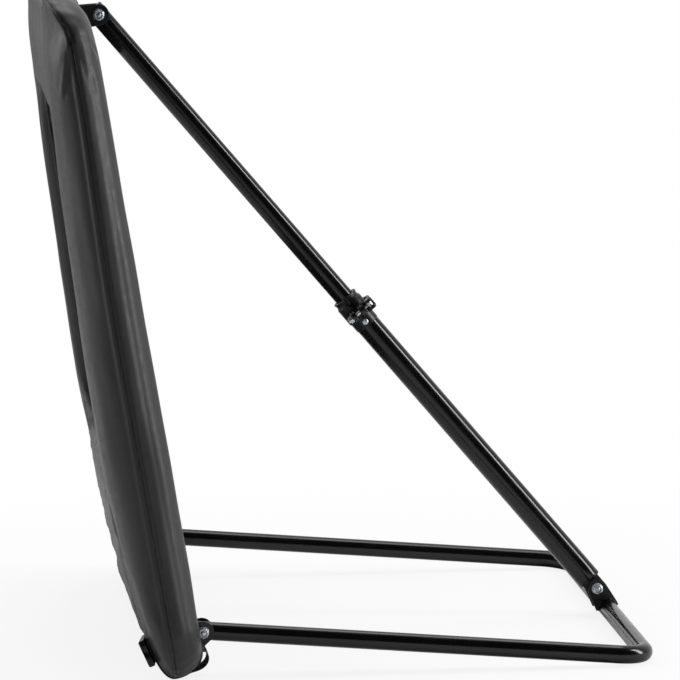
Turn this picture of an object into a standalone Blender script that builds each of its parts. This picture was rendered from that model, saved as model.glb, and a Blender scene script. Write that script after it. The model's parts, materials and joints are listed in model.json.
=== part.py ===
"""Rebounder net: a padded, leaning net panel on a folding tubular stand.

Metres, +Z up, +X towards the rear bar of the stand, +Y to the far side. The part stands
on the plane Z = 0, with the middle of its footprint at the origin.

Four moving bodies hang from the floor stand (base): the panel, which hinges on the two leg
pivots; the upper and lower tubes of the telescopic strut; and the cam lever of its clamp.
"""

import math

import bmesh
import bpy
from mathutils import Matrix, Vector

MM = 0.001

# General fits
FIT_GAP = 0.3 * MM
BOLT_FIT = 0.3 * MM

# Floor stand
BASE_TUBE_RADIUS = 12.5 * MM
BASE_TUBE_WALL = 1.5 * MM
BASE_BEND_RADIUS = 42 * MM
LEG_LENGTH = 608 * MM
LEG_INSET = 95 * MM
LEG_END = 12 * MM
PIVOT_HEIGHT = 62 * MM
PLUG_DEPTH = 16 * MM
PLUG_RIM = 2 * MM

# Panel outline, measured up the panel from the leg pivot axis
PANEL_LEAN = math.radians(9.3)
PANEL_WIDTH = 990 * MM
PANEL_TOP = 880 * MM
PANEL_THICKNESS = 80 * MM
PANEL_CORNER = 75 * MM
REAR_FACE_OFFSET = 5.6 * MM
FLOOR_CLEARANCE = 2.6 * MM
WINDOW_WIDTH = 770 * MM
WINDOW_BOTTOM = 207 * MM
WINDOW_TOP = 712 * MM
WINDOW_CORNER = 60 * MM

# Padded cover
COVER_SKIN = 1.2 * MM
PAD_GAP = 1.8 * MM
SEAM_GAP = 0.3 * MM
WINDOW_ROLL = 15 * MM
REAR_ROLL = 36 * MM
REAR_TOP_ROLL = 60 * MM
TOP_SEAM_SHIFT = 14 * MM
FRONT_BOW = 6 * MM
SLOT_CLEARANCE = 2 * MM

# Inner panel frame
FRAME_RADIUS = 12.5 * MM
FRAME_WALL = 1.5 * MM
FRAME_BEND = 50 * MM
FRAME_INSET = 45 * MM
FRAME_TOP_INSET = 60 * MM
FRAME_BOTTOM_INSET = 36 * MM
FRAME_JOINT_HEIGHT = 400 * MM
SPIGOT_LENGTH = 100 * MM

# Net
NET_RECESS = 12 * MM
NET_TAPE_WIDTH = 24 * MM
NET_TAPE_THICKNESS = 2 * MM
NET_CORD = 2.4 * MM
NET_COLUMNS = 16
NET_ROWS = 10

# Brackets
BRACKET_PLATE = 2.5 * MM
BRACKET_NOSE = 15 * MM
BRACKET_SIDE_GAP = 0.5 * MM
BRACKET_WEB_HEIGHT = 34 * MM
BRACKET_ROOT_DEPTH = 10 * MM
POCKET_MARGIN = 3 * MM
POCKET_DEPTH_LEFT = 2 * MM

# Strut
TOP_PIVOT_DROP = 2 * MM
TOP_PIVOT_STANDOFF = 24.7 * MM
FOOT_PIVOT_SETBACK = 17.3 * MM
FOOT_PIVOT_RISE = 27.2 * MM
UPPER_TUBE_RADIUS = 14 * MM
LOWER_TUBE_RADIUS = 17.5 * MM
STRUT_WALL = 1.5 * MM
UPPER_TUBE_END = 10 * MM
UPPER_TUBE_LENGTH = 750 * MM
BUSH_LENGTH = 26 * MM
CLAMP_DISTANCE = 560 * MM
FOOT_TUBE_CUT = 16 * MM
FOOT_HEAD_RADIUS = 13.5 * MM
FOOT_PLUG_DEPTH = 38 * MM
FOOT_EAR_PLATE = 4 * MM
FOOT_EAR_NOSE = 14 * MM
FOOT_EAR_SKIRT = 4 * MM
FOOT_SHOULDER = 3 * MM
EDGE_CHAMFER = 1 * MM
FOOT_BORE_PLAY = 3.4 * MM

# Clamp
COLLAR_ABOVE = 27 * MM
COLLAR_BELOW = 26 * MM
COLLAR_WALL = 4 * MM
COLLAR_STEP = 15 * MM
COLLAR_SLIT = 3 * MM
SLIT_BELOW = 10 * MM
COLLAR_ROUND = 1.5 * MM
COLLAR_TAPER_START = 2 * MM
COLLAR_TAPER_END = 5 * MM
EAR_THICKNESS = 8.5 * MM
EAR_HEIGHT = 18 * MM
EAR_ROOT_SPREAD = 3 * MM
CLAMP_BOLT_RADIUS = 3 * MM
CLAMP_BOLT_OFFSET = 9.5 * MM
CLAMP_BOLT_TAIL = 2 * MM
CLAMP_NUT_ACROSS = 10 * MM
CLAMP_NUT_HEIGHT = 5.5 * MM
LINER_WALL = 1.6 * MM
THRUST_WASHER = 2.5 * MM
THRUST_WASHER_RADIUS = 7 * MM
CAM_RADIUS = 7.5 * MM
CAM_PIN_RADIUS = 2.5 * MM
CAM_EYE_RADIUS = 5 * MM
CAM_EYE_WIDTH = 6 * MM
CAM_HEAD_WIDTH = 16 * MM
LEVER_THICKNESS = 4 * MM
LEVER_WIDTH = 13 * MM
LEVER_CLEARANCE = 2 * MM
LEVER_SWEEP = math.radians(112)
LEVER_SWING = math.radians(110)
FORK_CLEARANCE = 0.8 * MM
RIVET_RADIUS = 2.4 * MM
RIVET_HEAD = 4.2 * MM
RIVET_HEAD_HEIGHT = 1.6 * MM
RIVET_HEAD_RIM = 0.6 * MM
RIVET_DROP = 18.5 * MM

# Pivot bolts
BOLT_RADIUS = 4 * MM
BOLT_HEAD_ACROSS = 13 * MM
BOLT_HEAD_HEIGHT = 5.3 * MM
NUT_HEIGHT = 6.5 * MM
WASHER_RADIUS = 8 * MM
WASHER_THICKNESS = 1.6 * MM
BOLT_TAIL = 3 * MM

# Webbing straps
STRAP_WIDTH = 38 * MM
STRAP_THICKNESS = 2 * MM
STRAP_SLACK = 12 * MM
BUCKLE_WIDTH = 46 * MM
BUCKLE_LENGTH = 38 * MM
BUCKLE_THICKNESS = 8 * MM
BUCKLE_WINDOW = 13 * MM
BUCKLE_NOTCH = 6 * MM
BUCKLE_CORNER = 2 * MM

# Cutting tools run past what they cut
CUT_PAST = 1 * MM

# Facet counts
CORNER_STEPS = 6
SIDE_STEPS = 4
TUBE_SIDES = 16
FRAME_SIDES = 12
STRUT_SIDES = 24
HARDWARE_SIDES = 12
BEND_STEPS = 6

# Derived panel geometry: t runs to the rear, square to the panel, from the pivot axis
MID_T = -(REAR_FACE_OFFSET + PANEL_THICKNESS / 2)
FRONT_T = MID_T - PANEL_THICKNESS / 2
REAR_T = -REAR_FACE_OFFSET
LEG_Y = PANEL_WIDTH / 2 - LEG_INSET
FRAME_HIGH = PANEL_TOP - FRAME_TOP_INSET
TOP_PIVOT_HEIGHT = FRAME_HIGH - TOP_PIVOT_DROP


def quarter(steps):
    """Angles from 0 to 90 degrees in equal steps."""
    return [math.pi / 2 * i / steps for i in range(steps + 1)]


FRONT_ROLL = quarter(5)
REAR_ROLL_ANGLES = quarter(3)
WINDOW_ROLL_ANGLES = quarter(3)[::-1]


def lowest_panel_edge():
    """Height up the panel of its bottom edge, so that the leaning panel clears the floor."""
    deepest = 0.0
    run = WINDOW_BOTTOM - WINDOW_ROLL
    for angle in (math.radians(step) for step in range(0, 31)):
        rise = run * (1 - math.cos(angle)) * 1.2
        depth = PANEL_THICKNESS / 2 * math.sin(angle)
        deepest = min(deepest, rise * math.cos(PANEL_LEAN) - depth * math.sin(PANEL_LEAN))
    floor = FLOOR_CLEARANCE - PIVOT_HEIGHT - MID_T * math.sin(PANEL_LEAN) - deepest
    return floor / math.cos(PANEL_LEAN)


PANEL_BOTTOM = lowest_panel_edge()


# Scene helpers


def clear_scene():
    for item in list(bpy.data.objects):
        bpy.data.objects.remove(item, do_unlink=True)


def srgb(value):
    """A linear colour from an sRGB hex string."""
    channels = [int(value[i:i + 2], 16) / 255 for i in (0, 2, 4)]
    linear = [c / 12.92 if c <= 0.04045 else ((c + 0.055) / 1.055) ** 2.4 for c in channels]
    return (*linear, 1.0)


def make_material(name, colour, roughness, metallic=0.0):
    material = bpy.data.materials.new(name)
    material.use_nodes = True
    shader = material.node_tree.nodes["Principled BSDF"]
    shader.inputs["Base Color"].default_value = srgb(colour)
    shader.inputs["Roughness"].default_value = roughness
    shader.inputs["Metallic"].default_value = metallic
    material.diffuse_color = srgb(colour)
    return material


def make_empty(name, parent=None, location=(0, 0, 0), turn=0.0):
    """A body's empty, with its origin on a joint axis, turned about Y."""
    empty = bpy.data.objects.new(name, None)
    bpy.context.collection.objects.link(empty)
    empty.parent = parent
    empty.location = location
    empty.rotation_euler = (0, turn, 0)
    return empty


def make_object(name, bm, smooth_angle=35):
    """A mesh object from a closed bmesh, with its faces turned outwards."""
    bmesh.ops.recalc_face_normals(bm, faces=bm.faces)
    mesh = bpy.data.meshes.new(name)
    bm.to_mesh(mesh)
    bm.free()
    mesh.shade_smooth()
    mesh.set_sharp_from_angle(angle=math.radians(smooth_angle))
    obj = bpy.data.objects.new(name, mesh)
    bpy.context.collection.objects.link(obj)
    return obj


def place(obj, body, material):
    """Give a finished piece its material and its body."""
    obj.data.materials.clear()
    obj.data.materials.append(material)
    obj.parent = body
    return obj


def combine(target, tool, operation):
    """Apply an exact Boolean between two pieces that are still in their own axes."""
    modifier = target.modifiers.new("combine", "BOOLEAN")
    modifier.operation = operation
    modifier.solver = "EXACT"
    modifier.object = tool
    graph = bpy.context.evaluated_depsgraph_get()
    graph.update()
    result = bpy.data.meshes.new_from_object(target.evaluated_get(graph))
    target.modifiers.remove(modifier)
    target.data = result
    bpy.data.objects.remove(tool, do_unlink=True)
    return target


def cut(target, tool):
    return combine(target, tool, "DIFFERENCE")


def join(target, tool):
    return combine(target, tool, "UNION")


# Shape helpers


def loft(bm, rings, loop=False, cap=False):
    """Quads between rings of equal length, closed into a loop or capped at both ends."""
    rows = [[bm.verts.new(point) for point in ring] for ring in rings]
    pairs = list(zip(rows, rows[1:]))
    if loop:
        pairs.append((rows[-1], rows[0]))
    for first, second in pairs:
        for i in range(len(first)):
            j = (i + 1) % len(first)
            bm.faces.new((first[i], first[j], second[j], second[i]))
    if cap:
        bm.faces.new(rows[0])
        bm.faces.new(rows[-1])
    return rows


def ring_about(axis, radius, at, sides):
    """A circle of points about a main axis, at a distance along it."""
    points = []
    for i in range(sides):
        angle = 2 * math.pi * (i + 0.5) / sides
        u = radius * math.cos(angle)
        v = radius * math.sin(angle)
        points.append(Vector({"X": (at, u, v), "Y": (u, at, v), "Z": (u, v, at)}[axis]))
    return points


def turned(profile, axis, sides, centre=(0, 0, 0), bored=False):
    """A turned piece from (distance along the axis, radius) pairs."""
    bm = bmesh.new()
    rings = [ring_about(axis, radius, at, sides) for at, radius in profile]
    loft(bm, rings, loop=bored, cap=not bored)
    bmesh.ops.translate(bm, verts=bm.verts, vec=centre)
    return bm


def rod(axis, radius, start, end, sides, centre=(0, 0, 0)):
    return turned([(start, radius), (end, radius)], axis, sides, centre)


def sleeve(axis, outer, inner, start, end, sides, centre=(0, 0, 0)):
    profile = [(start, outer), (end, outer), (end, inner), (start, inner)]
    return turned(profile, axis, sides, centre, bored=True)


def block(low, high):
    """A box between two corners."""
    bm = bmesh.new()
    corners = [(low[0], low[1]), (high[0], low[1]), (high[0], high[1]), (low[0], high[1])]
    loft(bm, [[Vector((x, y, z)) for x, y in corners] for z in (low[2], high[2])], cap=True)
    return bm


def plate(outline, low, high, axis="Y"):
    """A flat plate: an outline extruded along X (points y, z), Y (x, z) or Z (x, y)."""
    bm = bmesh.new()
    rings = []
    for level in (low, high):
        places = {"X": lambda a, b: (level, a, b), "Y": lambda a, b: (a, level, b),
                  "Z": lambda a, b: (a, b, level)}
        rings.append([Vector(places[axis](a, b)) for a, b in outline])
    loft(bm, rings, cap=True)
    return bm


def arc(centre, radius, start, end, steps):
    """Points on an arc, both ends included, with angles in degrees."""
    points = []
    for i in range(steps + 1):
        angle = math.radians(start + (end - start) * i / steps)
        points.append((centre[0] + radius * math.cos(angle), centre[1] + radius * math.sin(angle)))
    return points


def hull(points):
    """The convex outline round flat points, anticlockwise."""
    ordered = sorted(set(points))

    def half(sequence):
        chain = []
        for p in sequence:
            while len(chain) > 1:
                a, b = chain[-2], chain[-1]
                turn = (b[0] - a[0]) * (p[1] - a[1]) - (b[1] - a[1]) * (p[0] - a[0])
                if turn > 1e-12:
                    break
                chain.pop()
            chain.append(p)
        return chain[:-1]

    return half(ordered) + half(ordered[::-1])


def swept_tube(path, normal, outer, inner, sides):
    """A tube with a bore along a path that lies in one plane."""
    normal = Vector(normal)
    walls = {outer: [], inner: []}
    for i, point in enumerate(path):
        before = (point - path[max(i - 1, 0)]).normalized()
        after = (path[min(i + 1, len(path) - 1)] - point).normalized()
        tangent = (before + after).normalized()
        stretch = 1 / max(tangent.dot(after or before), 0.5) if 0 < i < len(path) - 1 else 1
        side = normal.cross(tangent).normalized() * stretch
        for radius, rings in walls.items():
            ring = []
            for k in range(sides):
                angle = 2 * math.pi * (k + 0.5) / sides
                ring.append(point + radius * (math.cos(angle) * side + math.sin(angle) * normal))
            rings.append(ring)
    bm = bmesh.new()
    if inner:
        loft(bm, walls[outer] + walls[inner][::-1], loop=True)
    else:
        loft(bm, walls[outer], cap=True)
    return bm


def bent_path(corners, radius, steps):
    """A path through corner points, with every inner corner rounded."""
    path = [corners[0]]
    for before, corner, after in zip(corners, corners[1:], corners[2:]):
        into = (corner - before).normalized()
        out = (after - corner).normalized()
        centre = corner + radius * (out - into)
        for i in range(steps + 1):
            angle = math.pi / 2 * i / steps
            path.append(centre - radius * out * math.cos(angle) + radius * into * math.sin(angle))
    path.append(corners[-1])
    return path


# Fasteners


def hex_ring(across, at):
    """Twelve points on a hexagon about Y: six corners and six mid sides."""
    points = []
    for i in range(HARDWARE_SIDES):
        angle = 2 * math.pi * i / HARDWARE_SIDES
        radius = across / 2 if i % 2 else across / math.sqrt(3)
        points.append(Vector((radius * math.cos(angle), at, radius * math.sin(angle))))
    return points


def round_ring(radius, at):
    points = []
    for i in range(HARDWARE_SIDES):
        angle = 2 * math.pi * i / HARDWARE_SIDES
        points.append(Vector((radius * math.cos(angle), at, radius * math.sin(angle))))
    return points


def build_pivot(name, body, half_width, centre):
    """Bolt, nut and two washers across a bracket, with the bolt head towards -Y."""
    washer_start = half_width + FIT_GAP
    washer_end = washer_start + WASHER_THICKNESS
    seat = washer_end + FIT_GAP
    nut_end = seat + NUT_HEIGHT
    chamfer = BOLT_RADIUS * 0.25
    bolt = bmesh.new()
    loft(bolt, [
        round_ring(BOLT_HEAD_ACROSS / 2 - chamfer, -seat - BOLT_HEAD_HEIGHT),
        hex_ring(BOLT_HEAD_ACROSS, -seat - BOLT_HEAD_HEIGHT + chamfer),
        hex_ring(BOLT_HEAD_ACROSS, -seat),
        round_ring(BOLT_RADIUS, -seat),
        round_ring(BOLT_RADIUS, nut_end + BOLT_TAIL - chamfer),
        round_ring(BOLT_RADIUS - chamfer, nut_end + BOLT_TAIL),
    ], cap=True)
    nut = bmesh.new()
    bore = BOLT_RADIUS + BOLT_FIT
    loft(nut, [
        hex_ring(BOLT_HEAD_ACROSS, seat),
        hex_ring(BOLT_HEAD_ACROSS, nut_end),
        round_ring(bore, nut_end),
        round_ring(bore, seat),
    ], loop=True)
    pieces = {"_bolt": bolt, "_nut": nut}
    for side, low in (("_near", -washer_end), ("_far", washer_start)):
        high = low + WASHER_THICKNESS
        pieces["_washer" + side] = sleeve("Y", WASHER_RADIUS, bore, low, high, HARDWARE_SIDES)
    for suffix, bm in pieces.items():
        bmesh.ops.translate(bm, verts=bm.verts, vec=centre)
        place(make_object(name + suffix, bm), body, ZINC)


def bolt_hole(half_width, centre, play=BOLT_FIT):
    """A cutter for a bolt hole along Y."""
    return make_object("hole", rod("Y", BOLT_RADIUS + play, -half_width, half_width, TUBE_SIDES, centre))


# Panel surfaces


def smooth_step(value):
    value = min(max(value, 0.0), 1.0)
    return value * value * (3 - 2 * value)


def seam_t(height):
    """Depth of the outer seam, which moves towards the front over the top border."""
    return MID_T - TOP_SEAM_SHIFT * smooth_step((height - WINDOW_TOP) / (PANEL_TOP - WINDOW_TOP))


def front_bow(height):
    """Extra crown of the front at mid height of the window."""
    middle = (WINDOW_TOP + WINDOW_BOTTOM) / 2
    reach = (WINDOW_TOP - WINDOW_BOTTOM) * 0.62
    return FRONT_BOW * smooth_step(1 - abs(height - middle) / reach)


def rounded_loop(half_width, low, high, radius):
    """Points (y, height) round a rectangle with round corners, anticlockwise from -Y."""
    centres = [
        (half_width - radius, low + radius, -90),
        (half_width - radius, high - radius, 0),
        (radius - half_width, high - radius, 90),
        (radius - half_width, low + radius, 180),
    ]
    corners = [arc((y, z), radius, start, start + 90, CORNER_STEPS) for y, z, start in centres]
    points = []
    for here, following in zip(corners, corners[1:] + corners[:1]):
        points.extend(here)
        for i in range(1, SIDE_STEPS):
            f = i / SIDE_STEPS
            points.append((
                here[-1][0] + (following[0][0] - here[-1][0]) * f,
                here[-1][1] + (following[0][1] - here[-1][1]) * f,
            ))
    return points


def outer_loop(inset=0.0):
    return rounded_loop(PANEL_WIDTH / 2 - inset, PANEL_BOTTOM + inset, PANEL_TOP - inset,
                        PANEL_CORNER - inset)


def window_loop(outset=0.0):
    return rounded_loop(WINDOW_WIDTH / 2 + outset, WINDOW_BOTTOM - outset, WINDOW_TOP + outset,
                        WINDOW_CORNER + outset)


def rear_crest_loop(inset=0.0):
    """Where the rolled edge meets the flat rear."""
    side = REAR_ROLL + inset
    return rounded_loop(PANEL_WIDTH / 2 - side, PANEL_BOTTOM + side,
                        PANEL_TOP - REAR_TOP_ROLL - inset, PANEL_CORNER - REAR_ROLL)


def between(first, second, factor):
    return [(a[0] + (b[0] - a[0]) * factor, a[1] + (b[1] - a[1]) * factor)
            for a, b in zip(first, second)]


def front_layers(offset=0.0):
    """Loops (y, height, depth) of the front surface, from the outer seam to the window seam."""
    crest = window_loop(WINDOW_ROLL)
    layers = []
    for angle in FRONT_ROLL:
        loop = between(outer_loop(offset), crest, 1 - math.cos(angle))
        layers.append([
            (y, z, seam_t(z) - SEAM_GAP / 2 - math.sin(angle) * max(
                seam_t(z) - SEAM_GAP / 2 - FRONT_T + front_bow(z) - offset, 0))
            for y, z in loop])
    for angle in WINDOW_ROLL_ANGLES[1:]:
        loop = between(window_loop(offset), crest, 1 - math.cos(angle))
        layers.append([
            (y, z, MID_T - SEAM_GAP / 2 - math.sin(angle) * (
                MID_T - SEAM_GAP / 2 - FRONT_T + front_bow(z) - offset))
            for y, z in loop])
    return layers


def rear_layers(offset=0.0):
    """Loops (y, height, depth) of the rear surface, from the outer seam to the window seam."""
    crest = rear_crest_loop()
    inner_crest = window_loop(WINDOW_ROLL)
    layers = []
    for angle in REAR_ROLL_ANGLES:
        loop = between(outer_loop(offset), crest, 1 - math.cos(angle))
        layers.append([
            (y, z, seam_t(z) + SEAM_GAP / 2
             + math.sin(angle) * (REAR_T - seam_t(z) - SEAM_GAP / 2 - offset))
            for y, z in loop])
    for angle in WINDOW_ROLL_ANGLES:
        loop = between(window_loop(offset), inner_crest, 1 - math.cos(angle))
        layers.append([
            (y, z, MID_T + SEAM_GAP / 2 + math.sin(angle) * (REAR_T - MID_T - SEAM_GAP / 2 - offset))
            for y, z in loop])
    return layers


def to_points(layer):
    return [Vector((t, y, z)) for y, z, t in layer]


def cover_shell(name, layers_of):
    """A sewn skin: the outer surface, the same surface one skin inside, and their two rims."""
    outer = [to_points(layer) for layer in layers_of(0.0)]
    inner = [to_points(layer) for layer in layers_of(COVER_SKIN)]
    bm = bmesh.new()
    loft(bm, outer + inner[::-1], loop=True)
    return make_object(name, bm)


def window_inset(depth):
    """How far the window edge has drawn back from the window line at a depth behind the front."""
    lift = (PANEL_THICKNESS / 2 - depth) / (PANEL_THICKNESS / 2 + FRONT_BOW)
    return WINDOW_ROLL * (1 - math.sqrt(max(1 - lift * lift, 0)))


def foam_pad(name, low, high):
    """One foam bolster: the part of the padded ring between two corners (y, height)."""
    offset = COVER_SKIN + PAD_GAP
    layers = front_layers(offset) + rear_layers(offset)[::-1]
    bm = bmesh.new()
    loft(bm, [to_points(layer) for layer in layers], loop=True)
    pad = make_object(name, bm)
    reach = PANEL_THICKNESS
    limit = block((MID_T - reach, low[0], low[1]), (MID_T + reach, high[0], high[1]))
    return combine(pad, make_object("limit", limit), "INTERSECT")


# Materials


clear_scene()

VINYL = make_material("black_vinyl_fabric", "2A2A2C", 0.55)
FOAM = make_material("grey_foam", "6E6E70", 0.95)
MESH = make_material("black_net", "141415", 0.85)
WEBBING = make_material("black_webbing", "1B1B1C", 0.8)
TUBE = make_material("gloss_black_tube", "0C0C0D", 0.18, 0.3)
BRACKET = make_material("satin_black_steel", "121213", 0.35, 0.4)
ZINC = make_material("zinc_steel", "B9BCC0", 0.3, 1.0)
NYLON = make_material("black_nylon", "18181A", 0.5)

# Bodies, each with its empty on its own joint axis

LEG_SLOPE = math.asin((PIVOT_HEIGHT - BASE_TUBE_RADIUS) / LEG_LENGTH)
ROOT = make_empty("rebounder")
BASE = make_empty("base_body", ROOT, (0, 0, PIVOT_HEIGHT), LEG_SLOPE)
PANEL = make_empty("panel_body", ROOT, (0, 0, PIVOT_HEIGHT), -PANEL_LEAN)


def in_base(x, z):
    """World place of a point given in the stand's own axes."""
    turned_point = Matrix.Rotation(LEG_SLOPE, 3, "Y") @ Vector((x, 0, z))
    return turned_point + Vector((0, 0, PIVOT_HEIGHT))


def in_panel(t, height):
    """World place of a point given in the panel's own axes."""
    turned_point = Matrix.Rotation(-PANEL_LEAN, 3, "Y") @ Vector((t, 0, height))
    return turned_point + Vector((0, 0, PIVOT_HEIGHT))


TOP_PIVOT_T = REAR_T + TOP_PIVOT_STANDOFF
TOP_PIVOT = in_panel(TOP_PIVOT_T, TOP_PIVOT_HEIGHT)
FOOT_X = LEG_LENGTH - FOOT_PIVOT_SETBACK
FOOT_PIVOT = in_base(FOOT_X, FOOT_PIVOT_RISE)
STRUT_LENGTH = (TOP_PIVOT - FOOT_PIVOT).length
STRUT_TURN = math.atan2(TOP_PIVOT.x - FOOT_PIVOT.x, TOP_PIVOT.z - FOOT_PIVOT.z)
STRUT_UPPER = make_empty("strut_upper_body", ROOT, TOP_PIVOT, STRUT_TURN)
STRUT_LOWER = make_empty("strut_lower_body", ROOT, TOP_PIVOT, STRUT_TURN)


# Floor stand: one bent tube, its end plugs and the ears for the strut


def build_base_tube():
    """A U of one tube: two legs and the rear bar, cross drilled for the leg pivots."""
    corners = [
        Vector((-LEG_END, -LEG_Y, 0)),
        Vector((LEG_LENGTH, -LEG_Y, 0)),
        Vector((LEG_LENGTH, LEG_Y, 0)),
        Vector((-LEG_END, LEG_Y, 0)),
    ]
    path = bent_path(corners, BASE_BEND_RADIUS, BEND_STEPS)
    bore = BASE_TUBE_RADIUS - BASE_TUBE_WALL
    tube = make_object("base_tube", swept_tube(path, (0, 0, 1), BASE_TUBE_RADIUS, bore, TUBE_SIDES))
    for y in (-LEG_Y, LEG_Y):
        cut(tube, bolt_hole(2 * BASE_TUBE_RADIUS, (0, y, 0)))
    place(tube, BASE, TUBE)


def build_base_plug(name, y):
    """A push-in end plug, cross drilled for the pivot bolt."""
    stem = (BASE_TUBE_RADIUS - BASE_TUBE_WALL) * math.cos(math.pi / TUBE_SIDES) - FIT_GAP
    face = -LEG_END - FIT_GAP
    plug = make_object(name, turned([
        (face - PLUG_RIM, BASE_TUBE_RADIUS - PLUG_RIM / 2),
        (face - PLUG_RIM / 2, BASE_TUBE_RADIUS),
        (face, BASE_TUBE_RADIUS),
        (face, stem),
        (face + PLUG_DEPTH + LEG_END, stem),
    ], "X", TUBE_SIDES, (0, y, 0)))
    cut(plug, bolt_hole(2 * BASE_TUBE_RADIUS, (0, y, 0)))
    place(plug, BASE, NYLON)


FOOT_EAR_INNER = LOWER_TUBE_RADIUS + FIT_GAP
FOOT_EAR_OUTER = FOOT_EAR_INNER + FOOT_EAR_PLATE


def build_foot_ear(name, side):
    """An ear plate welded on the rear bar, with a saddle that fits the bar."""
    nose = arc((FOOT_X, FOOT_PIVOT_RISE), FOOT_EAR_NOSE, 0, 330, 11)
    skirt = arc((LEG_LENGTH, 0), BASE_TUBE_RADIUS + FOOT_EAR_SKIRT, 20, 200, 9)
    outline = hull(nose + skirt)
    low, high = sorted((side * FOOT_EAR_INNER, side * FOOT_EAR_OUTER))
    ear = make_object(name, plate(outline, low, high))
    saddle = BASE_TUBE_RADIUS + FIT_GAP
    reach = FOOT_EAR_OUTER * 2
    cut(ear, make_object("saddle", rod("Y", saddle / math.cos(math.pi / TUBE_SIDES), -reach, reach,
                                       TUBE_SIDES, (LEG_LENGTH, 0, 0))))
    cut(ear, bolt_hole(reach, (FOOT_X, 0, FOOT_PIVOT_RISE)))
    place(ear, BASE, BRACKET)


# Panel frame, brackets and pivots


FRAME_Y = PANEL_WIDTH / 2 - FRAME_INSET
FRAME_LOW = PANEL_BOTTOM + FRAME_BOTTOM_INSET


def frame_corners(end, height):
    """The corner points of one half frame, from joint to joint."""
    return [
        Vector((MID_T, -FRAME_Y, end)),
        Vector((MID_T, -FRAME_Y, height)),
        Vector((MID_T, FRAME_Y, height)),
        Vector((MID_T, FRAME_Y, end)),
    ]


def build_frame_half(name, end, height):
    path = bent_path(frame_corners(end, height), FRAME_BEND, BEND_STEPS)
    tube = swept_tube(path, (1, 0, 0), FRAME_RADIUS, FRAME_RADIUS - FRAME_WALL, FRAME_SIDES)
    place(make_object(name, tube), PANEL, TUBE)


def build_spigot(name, y):
    """A short tube that joins the two half frames inside a side pad."""
    outer = FRAME_RADIUS - FRAME_WALL - FIT_GAP
    low = FRAME_JOINT_HEIGHT - SPIGOT_LENGTH / 2
    spigot = sleeve("Z", outer * math.cos(math.pi / FRAME_SIDES), outer - 2 * FRAME_WALL,
                    low, low + SPIGOT_LENGTH, FRAME_SIDES, (MID_T, y, 0))
    place(make_object(name, spigot), PANEL, ZINC)


def bracket_channel(name, y, tube_height, pivot, inner_half):
    """A U bracket: a web against the frame tube and two ears that reach the pivot."""
    web_face = MID_T + FRAME_RADIUS + FIT_GAP
    half = BRACKET_WEB_HEIGHT / 2
    root = [
        (web_face, tube_height - half),
        (web_face, tube_height + half),
        (web_face + BRACKET_ROOT_DEPTH, tube_height + half),
        (web_face + BRACKET_ROOT_DEPTH, tube_height - half),
    ]
    outline = hull(root + arc(pivot, BRACKET_NOSE, 0, 345, 23))
    outer_half = inner_half + BRACKET_PLATE
    bracket = make_object(name, plate(outline, y - outer_half, y + outer_half))
    hollow = block((web_face + BRACKET_PLATE, y - inner_half, tube_height - 4 * half),
                   (pivot[0] + 2 * BRACKET_NOSE, y + inner_half, tube_height + 4 * half))
    cut(bracket, make_object("hollow", hollow))
    cut(bracket, bolt_hole(2 * outer_half, (pivot[0], y, pivot[1])))
    place(bracket, PANEL, BRACKET)


# Pads, covers and net


TOP_EAR_OUTER = UPPER_TUBE_RADIUS + BRACKET_SIDE_GAP + BRACKET_PLATE
LEG_EAR_OUTER = BASE_TUBE_RADIUS + BRACKET_SIDE_GAP + BRACKET_PLATE


def bracket_pockets():
    """Boxes that clear each bracket and the tube that turns in it: (y, half width, low, high)."""
    reach = BRACKET_NOSE + SLOT_CLEARANCE + POCKET_MARGIN
    top_low = TOP_PIVOT_HEIGHT - reach
    top_high = FRAME_HIGH + BRACKET_WEB_HEIGHT / 2 + SLOT_CLEARANCE
    leg_low = FRAME_LOW - BRACKET_WEB_HEIGHT / 2 - SLOT_CLEARANCE
    hardware = 2 * FIT_GAP + WASHER_THICKNESS + NUT_HEIGHT + BOLT_TAIL
    pockets = [(0, TOP_EAR_OUTER + SLOT_CLEARANCE, top_low, top_high)]
    for y in (-LEG_Y, LEG_Y):
        pockets.append((y, LEG_EAR_OUTER + hardware + SLOT_CLEARANCE, leg_low, reach))
    return pockets


def cut_pockets(obj, start_t, wanted):
    for y, half, low, high in bracket_pockets():
        if y in wanted:
            cut(obj, make_object("pocket", block((start_t, y - half, low), (0.1, y + half, high))))


def build_pads():
    """Four foam bolsters, bored for the frame tube and notched for the brackets."""
    split = WINDOW_WIDTH / 2 - WINDOW_CORNER
    middle = (WINDOW_BOTTOM + WINDOW_TOP) / 2
    outside = PANEL_WIDTH
    gap = FIT_GAP / 2
    pads = {
        "foam_pad_near": ((-outside, -outside), (-split - gap, 2 * outside), (-LEG_Y,)),
        "foam_pad_far": ((split + gap, -outside), (outside, 2 * outside), (LEG_Y,)),
        "foam_pad_top": ((gap - split, middle), (split - gap, 2 * outside), (0,)),
        "foam_pad_bottom": ((gap - split, -outside), (split - gap, middle), ()),
    }
    bore = (FRAME_RADIUS + FIT_GAP) / math.cos(math.pi / FRAME_SIDES)
    for name, (low, high, wanted) in pads.items():
        pad = foam_pad(name, low, high)
        for height in (FRAME_HIGH, FRAME_LOW):
            path = bent_path(frame_corners(FRAME_JOINT_HEIGHT, height), FRAME_BEND, BEND_STEPS)
            past = math.copysign(CUT_PAST, FRAME_JOINT_HEIGHT - height)
            path[0] = path[0] + Vector((0, 0, past))
            path[-1] = path[-1] + Vector((0, 0, past))
            cut(pad, make_object("bore", swept_tube(path, (1, 0, 0), bore, 0, FRAME_SIDES)))
        cut_pockets(pad, MID_T + FRAME_RADIUS / 2, wanted)
        place(pad, PANEL, FOAM)


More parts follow.
